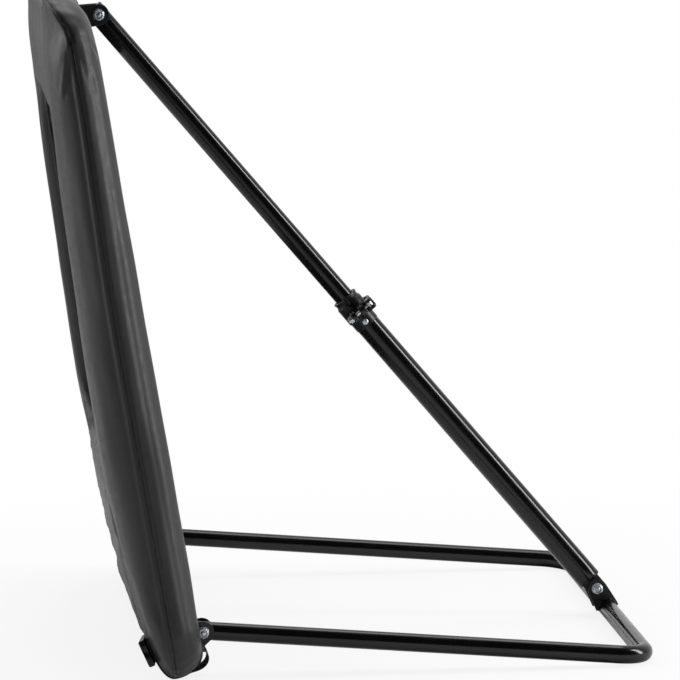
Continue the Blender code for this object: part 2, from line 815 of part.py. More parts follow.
def build_covers():
    front = cover_shell("front_cover", front_layers)
    place(front, PANEL, VINYL)
    rear = cover_shell("rear_cover", rear_layers)
    cut_pockets(rear, MID_T + POCKET_DEPTH_LEFT, (-LEG_Y, 0, LEG_Y))
    place(rear, PANEL, VINYL)


TAPE_T = FRONT_T + NET_RECESS


def build_net_tape():
    """The flat webbing frame round the net, sewn just inside the window edge."""
    outset = window_inset(NET_RECESS + NET_TAPE_THICKNESS) - FIT_GAP * 2
    outer = window_loop(outset)
    inner = window_loop(outset - NET_TAPE_WIDTH)
    bm = bmesh.new()
    back = TAPE_T + NET_TAPE_THICKNESS
    rings = []
    for loop, depth in ((outer, TAPE_T), (outer, back), (inner, back), (inner, TAPE_T)):
        rings.append([Vector((depth, y, z)) for y, z in loop])
    loft(bm, rings, loop=True)
    place(make_object("net_border_tape", bm), PANEL, WEBBING)


def lattice_lines(low, high, count):
    """Edges of count openings between cords that are all of one width."""
    pitch = (high - low - NET_CORD) / count
    lines = []
    for i in range(count + 1):
        lines += [low + i * pitch, low + i * pitch + NET_CORD]
    return lines


def build_net():
    """A square net as one lattice, trimmed to the round corners of the window."""
    start = TAPE_T + NET_TAPE_THICKNESS + FIT_GAP
    half = WINDOW_WIDTH / 2 - FIT_GAP
    columns = lattice_lines(-half, half, NET_COLUMNS)
    rows = lattice_lines(WINDOW_BOTTOM + FIT_GAP, WINDOW_TOP - FIT_GAP, NET_ROWS)
    bm = bmesh.new()
    sheets = []
    for depth in (start, start + NET_CORD):
        sheets.append([[bm.verts.new((depth, y, z)) for z in rows] for y in columns])

    def solid_cell(i, j):
        inside = 0 <= i < len(columns) - 1 and 0 <= j < len(rows) - 1
        return inside and not (i % 2 and j % 2)

    for i in range(len(columns) - 1):
        for j in range(len(rows) - 1):
            if not solid_cell(i, j):
                continue
            corners = ((i, j), (i + 1, j), (i + 1, j + 1), (i, j + 1))
            for sheet in sheets:
                bm.faces.new([sheet[a][b] for a, b in corners])
            neighbours = ((i, j - 1), (i + 1, j), (i, j + 1), (i - 1, j))
            for k, (a, b) in enumerate(neighbours):
                if not solid_cell(a, b):
                    p, q = corners[k], corners[(k + 1) % 4]
                    bm.faces.new([sheets[0][p[0]][p[1]], sheets[0][q[0]][q[1]],
                                  sheets[1][q[0]][q[1]], sheets[1][p[0]][p[1]]])
    net = make_object("net", bm)
    trim = bmesh.new()
    loop = window_loop(-2 * FIT_GAP)
    loft(trim, [[Vector((depth, y, z)) for y, z in loop]
                for depth in (start - CUT_PAST, start + NET_CORD + CUT_PAST)], cap=True)
    combine(net, make_object("trim", trim), "INTERSECT")
    place(net, PANEL, MESH)


# Webbing straps round the bottom border


def bottom_profile(turn):
    """Point and outward direction on the bottom border; -90 is the flat rear, 90 the front crest."""
    angle = math.radians(abs(turn))
    if turn < 0:
        run, depth = REAR_ROLL, REAR_T - MID_T
        sign = 1
    else:
        run, depth = WINDOW_BOTTOM - WINDOW_ROLL - PANEL_BOTTOM, MID_T - FRONT_T
        sign = -1
    point = Vector((MID_T + sign * depth * math.sin(angle), 0, PANEL_BOTTOM + run * (1 - math.cos(angle))))
    outward = Vector((sign * run * math.sin(angle), 0, -depth * math.cos(angle))).normalized()
    return point, outward


def strap_path():
    """The strap's inner line, from its rear anchor under the bottom to the front buckle."""
    path = []
    rear_start, front_end = -68, 44
    steps = 18
    for i in range(steps + 1):
        turn = rear_start + (front_end - rear_start) * i / steps
        point, outward = bottom_profile(turn)
        slack = STRAP_SLACK * math.sin(math.pi * min(i / steps / 0.42, 1.0)) ** 2
        path.append((point + outward * (FIT_GAP * 2 + slack), outward))
    return path


def build_strap(name, y):
    path = strap_path()
    sections = []
    for i, (point, outward) in enumerate(path):
        before = path[max(i - 1, 0)][0]
        after = path[min(i + 1, len(path) - 1)][0]
        along = (after - before).normalized()
        across = Vector((along.z, 0, -along.x))
        if across.dot(outward) < 0:
            across.negate()
        far = point + across * STRAP_THICKNESS
        low, high = y - STRAP_WIDTH / 2, y + STRAP_WIDTH / 2
        sections.append([Vector((p.x, edge, p.z)) for p, edge in
                         ((point, low), (point, high), (far, high), (far, low))])
    bm = bmesh.new()
    loft(bm, sections, cap=True)
    place(make_object(name, bm), PANEL, WEBBING)


def build_buckle(name, y):
    """A side release buckle on the front of the strap, with two release windows."""
    point, outward = bottom_profile(34)
    lift = FIT_GAP * 3 + STRAP_THICKNESS
    half_w, half_l = BUCKLE_WIDTH / 2, BUCKLE_LENGTH / 2
    waist = half_w - BUCKLE_NOTCH / 2
    outline = [
        (-half_w + BUCKLE_CORNER, -half_l), (half_w - BUCKLE_CORNER, -half_l),
        (half_w, -half_l + BUCKLE_CORNER), (half_w, -half_l / 3), (waist, 0), (waist, half_l / 3),
        (half_w, half_l * 0.6), (half_w - BUCKLE_CORNER, half_l), (-half_w + BUCKLE_CORNER, half_l),
        (-half_w, half_l * 0.6), (-waist, half_l / 3), (-waist, 0), (-half_w, -half_l / 3),
        (-half_w, -half_l + BUCKLE_CORNER),
    ]
    bm = plate(outline, 0, BUCKLE_THICKNESS, axis="Z")
    top = [e for e in bm.edges if all(v.co.z > BUCKLE_THICKNESS / 2 for v in e.verts)]
    bmesh.ops.bevel(bm, geom=top, offset=BUCKLE_CORNER, segments=2, affect="EDGES", profile=0.5)
    buckle = make_object(name, bm)
    slot_half = BUCKLE_WINDOW / 2
    for side in (-1, 1):
        low, high = sorted((side * (half_w * 0.42), side * (half_w * 0.42 + BUCKLE_NOTCH)))
        window = block((low, -slot_half, BUCKLE_THICKNESS * 0.5), (high, slot_half, BUCKLE_THICKNESS * 2))
        cut(buckle, make_object("window", window))
    up = Vector((outward.z, 0, -outward.x))
    if up.z < 0:
        up.negate()
    frame = Matrix((Vector((0, 1, 0)), up, outward)).transposed().to_4x4()
    frame.translation = point + outward * lift + Vector((0, y, 0))
    if frame.determinant() < 0:
        frame.col[0].xyz = -frame.col[0].xyz
    buckle.data.transform(frame)
    place(buckle, PANEL, NYLON)


# Telescopic strut: Z runs up the strut, with the top pivot at zero


FOOT_Z = -STRUT_LENGTH
CLAMP_Z = -CLAMP_DISTANCE
MOUTH_Z = CLAMP_Z + COLLAR_STEP
LOWER_END_Z = FOOT_Z + FOOT_TUBE_CUT
UPPER_LOW_Z = UPPER_TUBE_END - UPPER_TUBE_LENGTH


def build_upper_strut():
    bore = UPPER_TUBE_RADIUS - STRUT_WALL
    tube = make_object("strut_upper_tube", sleeve(
        "Z", UPPER_TUBE_RADIUS, bore, UPPER_LOW_Z, UPPER_TUBE_END, STRUT_SIDES))
    cut(tube, bolt_hole(2 * UPPER_TUBE_RADIUS, (0, 0, 0)))
    place(tube, STRUT_UPPER, TUBE)

    face = UPPER_TUBE_END + FIT_GAP
    stem = bore - FIT_GAP
    plug = make_object("strut_top_plug", turned([
        (-PLUG_DEPTH, stem),
        (face, stem),
        (face, UPPER_TUBE_RADIUS),
        (face + PLUG_RIM / 2, UPPER_TUBE_RADIUS),
        (face + PLUG_RIM, UPPER_TUBE_RADIUS - PLUG_RIM / 2),
    ], "Z", STRUT_SIDES))
    cut(plug, bolt_hole(2 * UPPER_TUBE_RADIUS, (0, 0, 0)))
    place(plug, STRUT_UPPER, NYLON)

    inner = (UPPER_TUBE_RADIUS + FIT_GAP) / math.cos(math.pi / STRUT_SIDES)
    outer = (LOWER_TUBE_RADIUS - STRUT_WALL) * math.cos(math.pi / STRUT_SIDES) - FIT_GAP
    bush = sleeve("Z", outer, inner, UPPER_LOW_Z, UPPER_LOW_Z + BUSH_LENGTH, STRUT_SIDES)
    place(make_object("strut_guide_bush", bush), STRUT_UPPER, NYLON)


def build_lower_tube():
    bore = LOWER_TUBE_RADIUS - STRUT_WALL
    tube = make_object("strut_lower_tube", sleeve(
        "Z", LOWER_TUBE_RADIUS, bore, LOWER_END_Z, MOUTH_Z, STRUT_SIDES))
    hole = rod("Y", RIVET_RADIUS + FIT_GAP, -2 * LOWER_TUBE_RADIUS, 0, HARDWARE_SIDES,
               (0, 0, CLAMP_Z - RIVET_DROP))
    cut(tube, make_object("hole", hole))
    place(tube, STRUT_LOWER, TUBE)


def build_foot_fitting():
    """A moulded plug whose round head fills the space between the ears."""
    bore = LOWER_TUBE_RADIUS - STRUT_WALL
    stem = bore * math.cos(math.pi / STRUT_SIDES) - FIT_GAP
    shoulder = LOWER_END_Z - FIT_GAP
    fitting = make_object("strut_foot_fitting", turned([
        (shoulder - FOOT_SHOULDER, LOWER_TUBE_RADIUS - EDGE_CHAMFER),
        (shoulder - FOOT_SHOULDER + EDGE_CHAMFER, LOWER_TUBE_RADIUS),
        (shoulder, LOWER_TUBE_RADIUS),
        (shoulder, stem),
        (LOWER_END_Z + FOOT_PLUG_DEPTH, stem),
    ], "Z", STRUT_SIDES))
    head = arc((0, FOOT_Z), FOOT_HEAD_RADIUS, 180, 360, 12)
    head += [(FOOT_HEAD_RADIUS, shoulder - EDGE_CHAMFER), (-FOOT_HEAD_RADIUS, shoulder - EDGE_CHAMFER)]
    width = LOWER_TUBE_RADIUS - FIT_GAP
    limit = make_object("limit", plate(head, -width, width))
    join(fitting, limit)
    cut(fitting, bolt_hole(2 * LOWER_TUBE_RADIUS, (0, 0, FOOT_Z), FOOT_BORE_PLAY))
    place(fitting, STRUT_LOWER, NYLON)


# Quick release clamp


COLLAR_RADIUS = LOWER_TUBE_RADIUS + FIT_GAP + COLLAR_WALL
BOLT_Y = -(COLLAR_RADIUS + CLAMP_BOLT_OFFSET - COLLAR_WALL)
EAR_OUTER_X = COLLAR_SLIT / 2 + EAR_THICKNESS
CAM_X = EAR_OUTER_X + FIT_GAP + THRUST_WASHER + FIT_GAP + CAM_RADIUS


def build_collar():
    """The split collar: a full ring fixed to the lower tube below, two clamping ears above."""
    low, high = CLAMP_Z - COLLAR_BELOW, CLAMP_Z + COLLAR_ABOVE
    neck = UPPER_TUBE_RADIUS + FIT_GAP * 2 + LINER_WALL + COLLAR_WALL
    collar = make_object("clamp_collar", turned([
        (low, COLLAR_RADIUS - COLLAR_ROUND),
        (low + COLLAR_ROUND, COLLAR_RADIUS),
        (MOUTH_Z + COLLAR_TAPER_START, COLLAR_RADIUS),
        (MOUTH_Z + COLLAR_TAPER_END, neck + EDGE_CHAMFER),
        (high - COLLAR_ROUND, neck + EDGE_CHAMFER),
        (high, neck),
    ], "Z", STRUT_SIDES))
    half = EAR_HEIGHT / 2
    root = half + EAR_ROOT_SPREAD
    ears = plate(hull(arc((BOLT_Y, CLAMP_Z), half, 90, 270, 8)
                      + [(-LOWER_TUBE_RADIUS, CLAMP_Z - root), (-LOWER_TUBE_RADIUS, CLAMP_Z + root)]),
                 -EAR_OUTER_X, EAR_OUTER_X, axis="X")
    ears = make_object("ears", ears)
    hole = rod("X", CLAMP_BOLT_RADIUS + FIT_GAP, -2 * EAR_OUTER_X, 2 * EAR_OUTER_X, TUBE_SIDES,
               (0, BOLT_Y, CLAMP_Z))
    cut(ears, make_object("hole", hole))
    join(collar, ears)
    bore = (LOWER_TUBE_RADIUS + FIT_GAP) / math.cos(math.pi / STRUT_SIDES)
    seat = (UPPER_TUBE_RADIUS + FIT_GAP * 2 + LINER_WALL) / math.cos(math.pi / STRUT_SIDES)
    cut(collar, make_object("bore", turned([
        (low - CUT_PAST, bore),
        (MOUTH_Z + FIT_GAP, bore),
        (MOUTH_Z + FIT_GAP, seat),
        (high + CUT_PAST, seat),
    ], "Z", STRUT_SIDES)))
    slit = block((-COLLAR_SLIT / 2, -2 * COLLAR_RADIUS, CLAMP_Z - SLIT_BELOW),
                 (COLLAR_SLIT / 2, 0, high + CUT_PAST))
    cut(collar, make_object("slit", slit))
    rivet_hole = rod("Y", RIVET_RADIUS + FIT_GAP, -2 * COLLAR_RADIUS, 0, HARDWARE_SIDES,
                     (0, 0, CLAMP_Z - RIVET_DROP))
    cut(collar, make_object("hole", rivet_hole))
    place(collar, STRUT_LOWER, NYLON)


def build_liner():
    """The split plastic liner that grips the upper tube at the mouth of the lower one."""
    inner = (UPPER_TUBE_RADIUS + FIT_GAP) / math.cos(math.pi / STRUT_SIDES)
    outer = UPPER_TUBE_RADIUS + FIT_GAP + LINER_WALL
    low = MOUTH_Z + 2 * FIT_GAP
    liner = make_object("clamp_liner", sleeve(
        "Z", outer, inner, low, CLAMP_Z + COLLAR_ABOVE, STRUT_SIDES))
    slit = block((-COLLAR_SLIT / 2, -2 * COLLAR_RADIUS, low - CUT_PAST),
                 (COLLAR_SLIT / 2, 0, CLAMP_Z + COLLAR_ABOVE + CUT_PAST))
    cut(liner, make_object("slit", slit))
    place(liner, STRUT_LOWER, NYLON)


def build_clamp_hardware():
    """Bolt with an eye for the cam pin, its nut, the thrust washer and the collar rivet."""
    centre = (0, BOLT_Y, CLAMP_Z)
    nut_high = -(EAR_OUTER_X + FIT_GAP)
    nut_low = nut_high - CLAMP_NUT_HEIGHT
    shank = rod("X", CLAMP_BOLT_RADIUS, nut_low - CLAMP_BOLT_TAIL, CAM_X - CAM_EYE_RADIUS / 2, TUBE_SIDES, centre)
    bolt = make_object("clamp_bolt", shank)
    join(bolt, make_object("eye", rod("Z", CAM_EYE_RADIUS, -CAM_EYE_WIDTH / 2, CAM_EYE_WIDTH / 2,
                                      TUBE_SIDES, (CAM_X, BOLT_Y, CLAMP_Z))))
    cut(bolt, make_object("hole", rod("Z", CAM_PIN_RADIUS + FIT_GAP, -CAM_HEAD_WIDTH, CAM_HEAD_WIDTH,
                                      HARDWARE_SIDES, (CAM_X, BOLT_Y, CLAMP_Z))))
    place(bolt, STRUT_LOWER, ZINC)

    nut = bmesh.new()
    bore = CLAMP_BOLT_RADIUS + FIT_GAP
    loft(nut, [hex_ring(CLAMP_NUT_ACROSS, nut_low), hex_ring(CLAMP_NUT_ACROSS, nut_high),
               round_ring(bore, nut_high), round_ring(bore, nut_low)], loop=True)
    bmesh.ops.rotate(nut, verts=nut.verts, matrix=Matrix.Rotation(-math.pi / 2, 3, "Z"))
    bmesh.ops.translate(nut, verts=nut.verts, vec=centre)
    place(make_object("clamp_nut", nut), STRUT_LOWER, ZINC)

    start = EAR_OUTER_X + FIT_GAP
    washer = sleeve("X", THRUST_WASHER_RADIUS, bore, start, start + THRUST_WASHER, TUBE_SIDES, centre)
    place(make_object("clamp_thrust_washer", washer), STRUT_LOWER, NYLON)

    face = -COLLAR_RADIUS - FIT_GAP
    rivet = turned([
        (face - RIVET_HEAD_HEIGHT, RIVET_HEAD * 0.55),
        (face - RIVET_HEAD_RIM, RIVET_HEAD),
        (face, RIVET_HEAD),
        (face, RIVET_RADIUS),
        (-(LOWER_TUBE_RADIUS - STRUT_WALL), RIVET_RADIUS),
    ], "Y", HARDWARE_SIDES, (0, 0, CLAMP_Z - RIVET_DROP))
    place(make_object("clamp_rivet", rivet), STRUT_LOWER, ZINC)


LEVER = make_empty("cam_lever_body", ROOT,
                   TOP_PIVOT + Matrix.Rotation(STRUT_TURN, 3, "Y") @ Vector((CAM_X, BOLT_Y, CLAMP_Z)),
                   STRUT_TURN)


def build_lever():
    """The cam lever: a forked cam head and a thumb lever that wraps round the collar."""
    half = CAM_HEAD_WIDTH / 2
    outline = [(x, y) for x, y in arc((0, 0), CAM_RADIUS, 90, 330, 12)]
    sweep_inner = COLLAR_RADIUS + LEVER_CLEARANCE
    centre = (-CAM_X, -BOLT_Y)
    start = math.degrees(math.atan2(-centre[1], -centre[0])) + 6
    end = start + math.degrees(LEVER_SWEEP)
    inner = arc(centre, sweep_inner, start + 14, end, 12)
    outer = arc(centre, sweep_inner + LEVER_THICKNESS, end, start + 8, 12)
    head = make_object("cam_lever", plate(outline, -half, half, axis="Z"))
    arm = make_object("arm", plate(inner + outer, -LEVER_WIDTH / 2, LEVER_WIDTH / 2, axis="Z"))
    neck = hull([inner[0], inner[1], outer[-1], outer[-2], (0, CAM_RADIUS), (CAM_RADIUS, 0),
                 (-CAM_RADIUS * 0.3, CAM_RADIUS * 0.8)])
    join(head, arm)
    join(head, make_object("neck", plate(neck, -LEVER_WIDTH / 2, LEVER_WIDTH / 2, axis="Z")))
    gap = CAM_EYE_WIDTH / 2 + FIT_GAP
    slot_radius = CAM_EYE_RADIUS + FORK_CLEARANCE
    swing_end = math.pi + LEVER_SWING
    shank_half = CLAMP_BOLT_RADIUS + FORK_CLEARANCE
    reach = 2 * CAM_RADIUS
    slot_end = [(reach * math.cos(swing_end) - side * shank_half * math.sin(swing_end),
                 reach * math.sin(swing_end) + side * shank_half * math.cos(swing_end))
                for side in (-1, 1)]
    fork = hull(arc((0, 0), slot_radius, 0, 345, 23) + slot_end
                + [(-reach, -slot_radius), (-reach, slot_radius), (0, -reach), (-reach, -reach)])
    cut(head, make_object("fork", plate(fork, -gap, gap, axis="Z")))
    cut(head, make_object("hole", rod("Z", CAM_PIN_RADIUS + FIT_GAP / 2, -CAM_HEAD_WIDTH,
                                      CAM_HEAD_WIDTH, HARDWARE_SIDES)))
    place(head, LEVER, NYLON)
    pin = rod("Z", CAM_PIN_RADIUS * 0.96, -half, half, HARDWARE_SIDES)
    place(make_object("cam_pin", pin), LEVER, ZINC)


def centre_on_origin():
    """Shift the root so that the middle of the footprint is at the origin."""
    bpy.context.view_layer.update()
    xs = []
    for item in bpy.context.scene.objects:
        if item.type == "MESH":
            xs += [(item.matrix_world @ vert.co).x for vert in item.data.vertices]
    ROOT.location.x = -(min(xs) + max(xs)) / 2


SIDES = {"near": -1, "far": 1}
HALF_SEAM = SEAM_GAP / 2

build_base_tube()
for side_name, side_sign in SIDES.items():
    build_base_plug("base_plug_" + side_name, side_sign * LEG_Y)
    build_foot_ear("foot_bracket_" + side_name, side_sign)
build_pivot("foot_pivot", BASE, FOOT_EAR_OUTER, (FOOT_X, 0, FOOT_PIVOT_RISE))

build_frame_half("frame_upper_tube", FRAME_JOINT_HEIGHT + HALF_SEAM, FRAME_HIGH)
build_frame_half("frame_lower_tube", FRAME_JOINT_HEIGHT - HALF_SEAM, FRAME_LOW)
bracket_channel("top_bracket", 0, FRAME_HIGH, (TOP_PIVOT_T, TOP_PIVOT_HEIGHT),
                UPPER_TUBE_RADIUS + BRACKET_SIDE_GAP)
build_pivot("top_pivot", PANEL, TOP_EAR_OUTER, (TOP_PIVOT_T, 0, TOP_PIVOT_HEIGHT))
for side_name, side_sign in SIDES.items():
    build_spigot("frame_spigot_" + side_name, side_sign * FRAME_Y)
    bracket_channel("leg_bracket_" + side_name, side_sign * LEG_Y, FRAME_LOW, (0.0, 0.0),
                    BASE_TUBE_RADIUS + BRACKET_SIDE_GAP)
    build_pivot("leg_pivot_" + side_name, PANEL, LEG_EAR_OUTER, (0, side_sign * LEG_Y, 0))
build_pads()
build_covers()
build_net_tape()
build_net()
for side_name, side_sign in SIDES.items():
    build_strap("strap_" + side_name, side_sign * LEG_Y)
    build_buckle("buckle_" + side_name, side_sign * LEG_Y)
build_upper_strut()
build_lower_tube()
build_foot_fitting()
build_collar()
build_liner()
build_clamp_hardware()
build_lever()
centre_on_origin()
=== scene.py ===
# %% [markdown]
# # A rebounder net
# A rebounder is a padded panel with a net in its window. It leans on a U of steel tube and on
# a telescopic strut, so that a ball thrown at the net comes back. The solids of every piece
# arrive as the frame. This lesson dresses them: cloth, foam, net, webbing, powder coat and zinc.

# %% Load the frame
import json
import math
import bmesh
import bpy
import numpy as np
from mathutils import Matrix, Vector

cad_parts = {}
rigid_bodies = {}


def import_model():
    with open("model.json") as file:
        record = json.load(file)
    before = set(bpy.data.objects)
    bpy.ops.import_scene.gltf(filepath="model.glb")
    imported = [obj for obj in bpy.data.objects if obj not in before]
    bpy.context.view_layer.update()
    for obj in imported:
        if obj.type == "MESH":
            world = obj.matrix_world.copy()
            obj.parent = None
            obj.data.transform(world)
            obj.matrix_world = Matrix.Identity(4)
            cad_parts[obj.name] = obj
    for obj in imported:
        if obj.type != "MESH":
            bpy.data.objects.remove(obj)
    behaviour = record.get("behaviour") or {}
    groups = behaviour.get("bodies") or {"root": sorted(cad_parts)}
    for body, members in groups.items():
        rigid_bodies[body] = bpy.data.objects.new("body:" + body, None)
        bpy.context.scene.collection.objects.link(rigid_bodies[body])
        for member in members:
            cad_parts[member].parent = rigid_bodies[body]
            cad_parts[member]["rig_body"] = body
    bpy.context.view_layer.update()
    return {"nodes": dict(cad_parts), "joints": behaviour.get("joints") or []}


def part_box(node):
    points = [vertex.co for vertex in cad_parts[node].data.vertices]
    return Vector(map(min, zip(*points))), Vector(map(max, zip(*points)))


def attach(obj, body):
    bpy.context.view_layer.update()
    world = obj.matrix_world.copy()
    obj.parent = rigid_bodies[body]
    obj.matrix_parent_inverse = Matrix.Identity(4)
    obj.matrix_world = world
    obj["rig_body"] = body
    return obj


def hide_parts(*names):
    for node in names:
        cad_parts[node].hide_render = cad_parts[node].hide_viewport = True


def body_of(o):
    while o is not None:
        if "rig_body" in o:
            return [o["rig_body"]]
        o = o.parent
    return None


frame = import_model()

# %% [markdown]
# ## Where things are
# The panel has its own axes: t runs to the rear, y sideways and s up the panel, all from the
# axis on which the panel turns on its legs. The strut has axes too, with z up the strut from
# the top pivot. The joints of the frame say where these axes are, so nothing is measured twice.

# %% Axes of the panel and of the strut
MM = 0.001
JOINTS = {joint["name"]: joint for joint in frame["joints"]}
LEG_PIVOT = np.array(JOINTS["panel_tilt"]["pos_m"])
TOP_PIVOT = np.array(JOINTS["strut_top_pivot"]["pos_m"])
STRUT_DOWN = np.array(JOINTS["strut_telescope"]["axis"])
LEAN = math.radians(9.3)
SIDEWAYS = np.array([0.0, 1.0, 0.0])
PANEL_REAR = np.array([math.cos(LEAN), 0.0, math.sin(LEAN)])
PANEL_UP = np.array([-math.sin(LEAN), 0.0, math.cos(LEAN)])
PANEL_WAYS = (PANEL_REAR, SIDEWAYS, PANEL_UP)
STRUT_UP = -STRUT_DOWN / np.linalg.norm(STRUT_DOWN)
STRUT_REAR = np.array([STRUT_UP[2], 0.0, -STRUT_UP[0]])


def spot(origin, axes, *values):
    """A point or grid of points: the origin plus each value times its axis."""
    total = np.array(origin, float)
    for value, axis in zip(values, axes):
        total = total + np.asarray(value, float)[..., None] * axis
    return total


def on_panel(t, y, s):
    """Points in space from t, y and s."""
    return spot(LEG_PIVOT, PANEL_WAYS, t, y, s)


def panel_values(points):
    """The t, y and s of points in space: their dot products with the panel's axes."""
    return np.moveaxis((points - LEG_PIVOT) @ np.stack(PANEL_WAYS, 1), -1, 0)


def on_strut(x, y, z):
    """Points in space from x to the rear, y sideways and z up the strut."""
    return spot(TOP_PIVOT, (STRUT_REAR, SIDEWAYS, STRUT_UP), x, y, z)


print("strut leans", round(math.degrees(math.acos(STRUT_UP[2])), 2), "degrees")

# %% [markdown]
# ## From arrays to a piece
# Cloth, tube and cord could be modelled by hand, but their shapes are plain formulas, so every
# new piece is a grid of points worked out by numpy. One function lays quads on the grid and gives
# each corner a UV in metres, so a weave of 1 mm is drawn at 1 mm. Another one puts points and
# faces into a mesh, and turns the faces outwards by the sign of the volume.

# %% Grids and pieces


def grid_shape(points, wrap=True, caps=(False, False), loop_rows=False):
    """Quads on rows of points. wrap closes each row, loop_rows joins the last row to the first,
    and a cap closes an end with a fan about the mean of its row."""
    rows, columns = points.shape[:2]
    c = np.arange(columns if wrap else columns - 1)
    r = np.arange(rows if loop_rows else rows - 1)
    steps = np.linalg.norm(np.roll(points, -1, 1) - points, axis=2)
    u = np.concatenate([[0], np.cumsum(steps[steps.sum(1).argmax()])])
    down = np.linalg.norm(np.roll(points, -1, 0) - points, axis=2)
    v = np.concatenate([[0], np.cumsum(down.max(1))])
    r, c = [a.ravel() for a in np.meshgrid(r, c, indexing="ij")]
    r_next, c_next = (r + 1) % rows, (c + 1) % columns
    quads = np.stack([r * columns + c, r * columns + c_next,
                      r_next * columns + c_next, r_next * columns + c], 1)
    uv = np.stack([np.stack(pair, 1) for pair in ((u[c], v[r]), (u[c + 1], v[r]),
                                                  (u[c + 1], v[r + 1]), (u[c], v[r + 1]))], 1)
    flat = points.reshape(-1, 3)
    faces, corners = [quads], [uv]
    c = np.arange(columns)
    across = np.stack([u[c], u[c + 1], (u[c] + u[c + 1]) / 2], 1)
    for capped, row, flip in ((caps[0], 0, True), (caps[1], rows - 1, False)):
        if capped:
            fan = np.stack([row * columns + c, row * columns + (c + 1) % columns,
                            np.full(columns, len(flat))], 1)
            fan_uv = np.stack([across, np.full(across.shape, v[row])], 2)
            flat = np.concatenate([flat, points[row].mean(0)[None]])
            faces.append(fan[:, ::-1] if flip else fan)
            corners.append(fan_uv[:, ::-1] if flip else fan_uv)
    return flat, faces, corners


def join_shapes(shapes):
    """Several shapes as one."""
    points, faces, corners, start = [], [], [], 0
    for p, f, uv in shapes:
        points.append(p)
        faces += [one + start for one in f]
        corners += uv
        start += len(p)
    return np.concatenate(points), faces, corners


def volume(points, faces):
    """Signed volume: the sum of the triple products of the faces' triangles."""
    total = 0.0
    for f in faces:
        for k in range(1, f.shape[1] - 1):
            a, b, c = points[f[:, 0]], points[f[:, k]], points[f[:, k + 1]]
            total += np.einsum("ij,ij->", a, np.cross(b, c)) / 6
    return total


def finish_piece(name, mesh, body, nodes):
    """Put a mesh into the scene, on its body, in the place of the nodes that it stands for."""
    piece = bpy.data.objects.new(name, mesh)
    bpy.context.scene.collection.objects.link(piece)
    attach(piece, body)
    if nodes:
        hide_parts(*nodes)
    print(f"{name}: {sum(len(p.vertices) - 2 for p in mesh.polygons)} triangles")
    return piece


def make_piece(name, shape, body, material, nodes=(), sharp=40, outward=None):
    """A piece from a shape. Edges above sharp degrees stay hard. outward says that the faces
    point out already; where it is left out, the sign of the volume tells."""
    points, faces, corners = shape
    turned = volume(points - points.mean(0), faces) < 0 if outward is None else not outward
    if turned:
        faces, corners = [f[:, ::-1] for f in faces], [uv[:, ::-1] for uv in corners]
    sizes = np.concatenate([np.full(len(f), f.shape[1]) for f in faces])
    loops = np.concatenate([f.ravel() for f in faces]).astype(np.int32)
    starts = np.concatenate([[0], np.cumsum(sizes)[:-1]]).astype(np.int32)
    uv = np.concatenate([uv.reshape(-1) for uv in corners]).astype(np.float32)
    mesh = bpy.data.meshes.new(name)
    mesh.vertices.add(len(points))
    mesh.vertices.foreach_set("co", points.astype(np.float32).ravel())
    mesh.loops.add(len(loops))
    mesh.loops.foreach_set("vertex_index", loops)
    mesh.polygons.add(len(sizes))
    mesh.polygons.foreach_set("loop_start", starts)
    mesh.polygons.foreach_set("use_smooth", np.ones(len(sizes), bool))
    mesh.uv_layers.new(name="UVMap").uv.foreach_set("vector", uv)
    mesh.update(calc_edges=True)
    if sharp is not None:
        mesh.set_sharp_from_angle(angle=math.radians(sharp))
    mesh.materials.append(material)
    return finish_piece(name, mesh, body, nodes)


# %% [markdown]
# Many pieces are round. Blender's own cylinders and screws could make them, but a function of
# two parameters gives them their place and UV at once: one turns a profile about an axis, one
# carries a ring along a path, and one makes a hexagon with the turned chamfer of a real nut.

# %% Turned, swept and hexagonal shapes
WIDE_WAYS = (np.array([0.0, 1.0, 0.0]), np.array([1.0, 0.0, 0.0]), np.array([0.0, 0.0, 1.0]))


def full_turn(sides):
    return np.arange(sides) / sides * 2 * math.pi


def ring_about(ways, sides):
    """Directions round the first of three axes: a cosine of the second and a sine of the third."""
    turn = full_turn(sides)[:, None]
    return np.cos(turn) * ways[1] + np.sin(turn) * ways[2]


def turned(profile, centre, ways=WIDE_WAYS, sides=48, closed=False):
    """(along, radius) pairs turned about the first of three axes; a closed profile makes a ring,
    an open one is capped at both ends."""
    profile = np.asarray(profile, float)
    rows = np.asarray(centre) + profile[:, 0, None, None] * ways[0] \
        + profile[:, 1, None, None] * ring_about(ways, sides)
    return grid_shape(rows, loop_rows=True) if closed else grid_shape(rows, caps=(True, True))


def swept_rows(path, directions, radii, reference, sides):
    """Rings of the given radii on the points of a path, square to its directions."""
    path, directions = np.asarray(path, float), np.asarray(directions, float)
    side = np.cross(directions, reference)
    side /= np.linalg.norm(side, axis=1, keepdims=True)
    other = np.cross(directions, side)
    turn = full_turn(sides)[:, None]
    ring = np.cos(turn) * side[:, None] + np.sin(turn) * other[:, None]
    return path[:, None] + np.asarray(radii, float)[:, None, None] * ring


def path_directions(path):
    directions = np.gradient(path, axis=0)
    return directions / np.linalg.norm(directions, axis=1, keepdims=True)


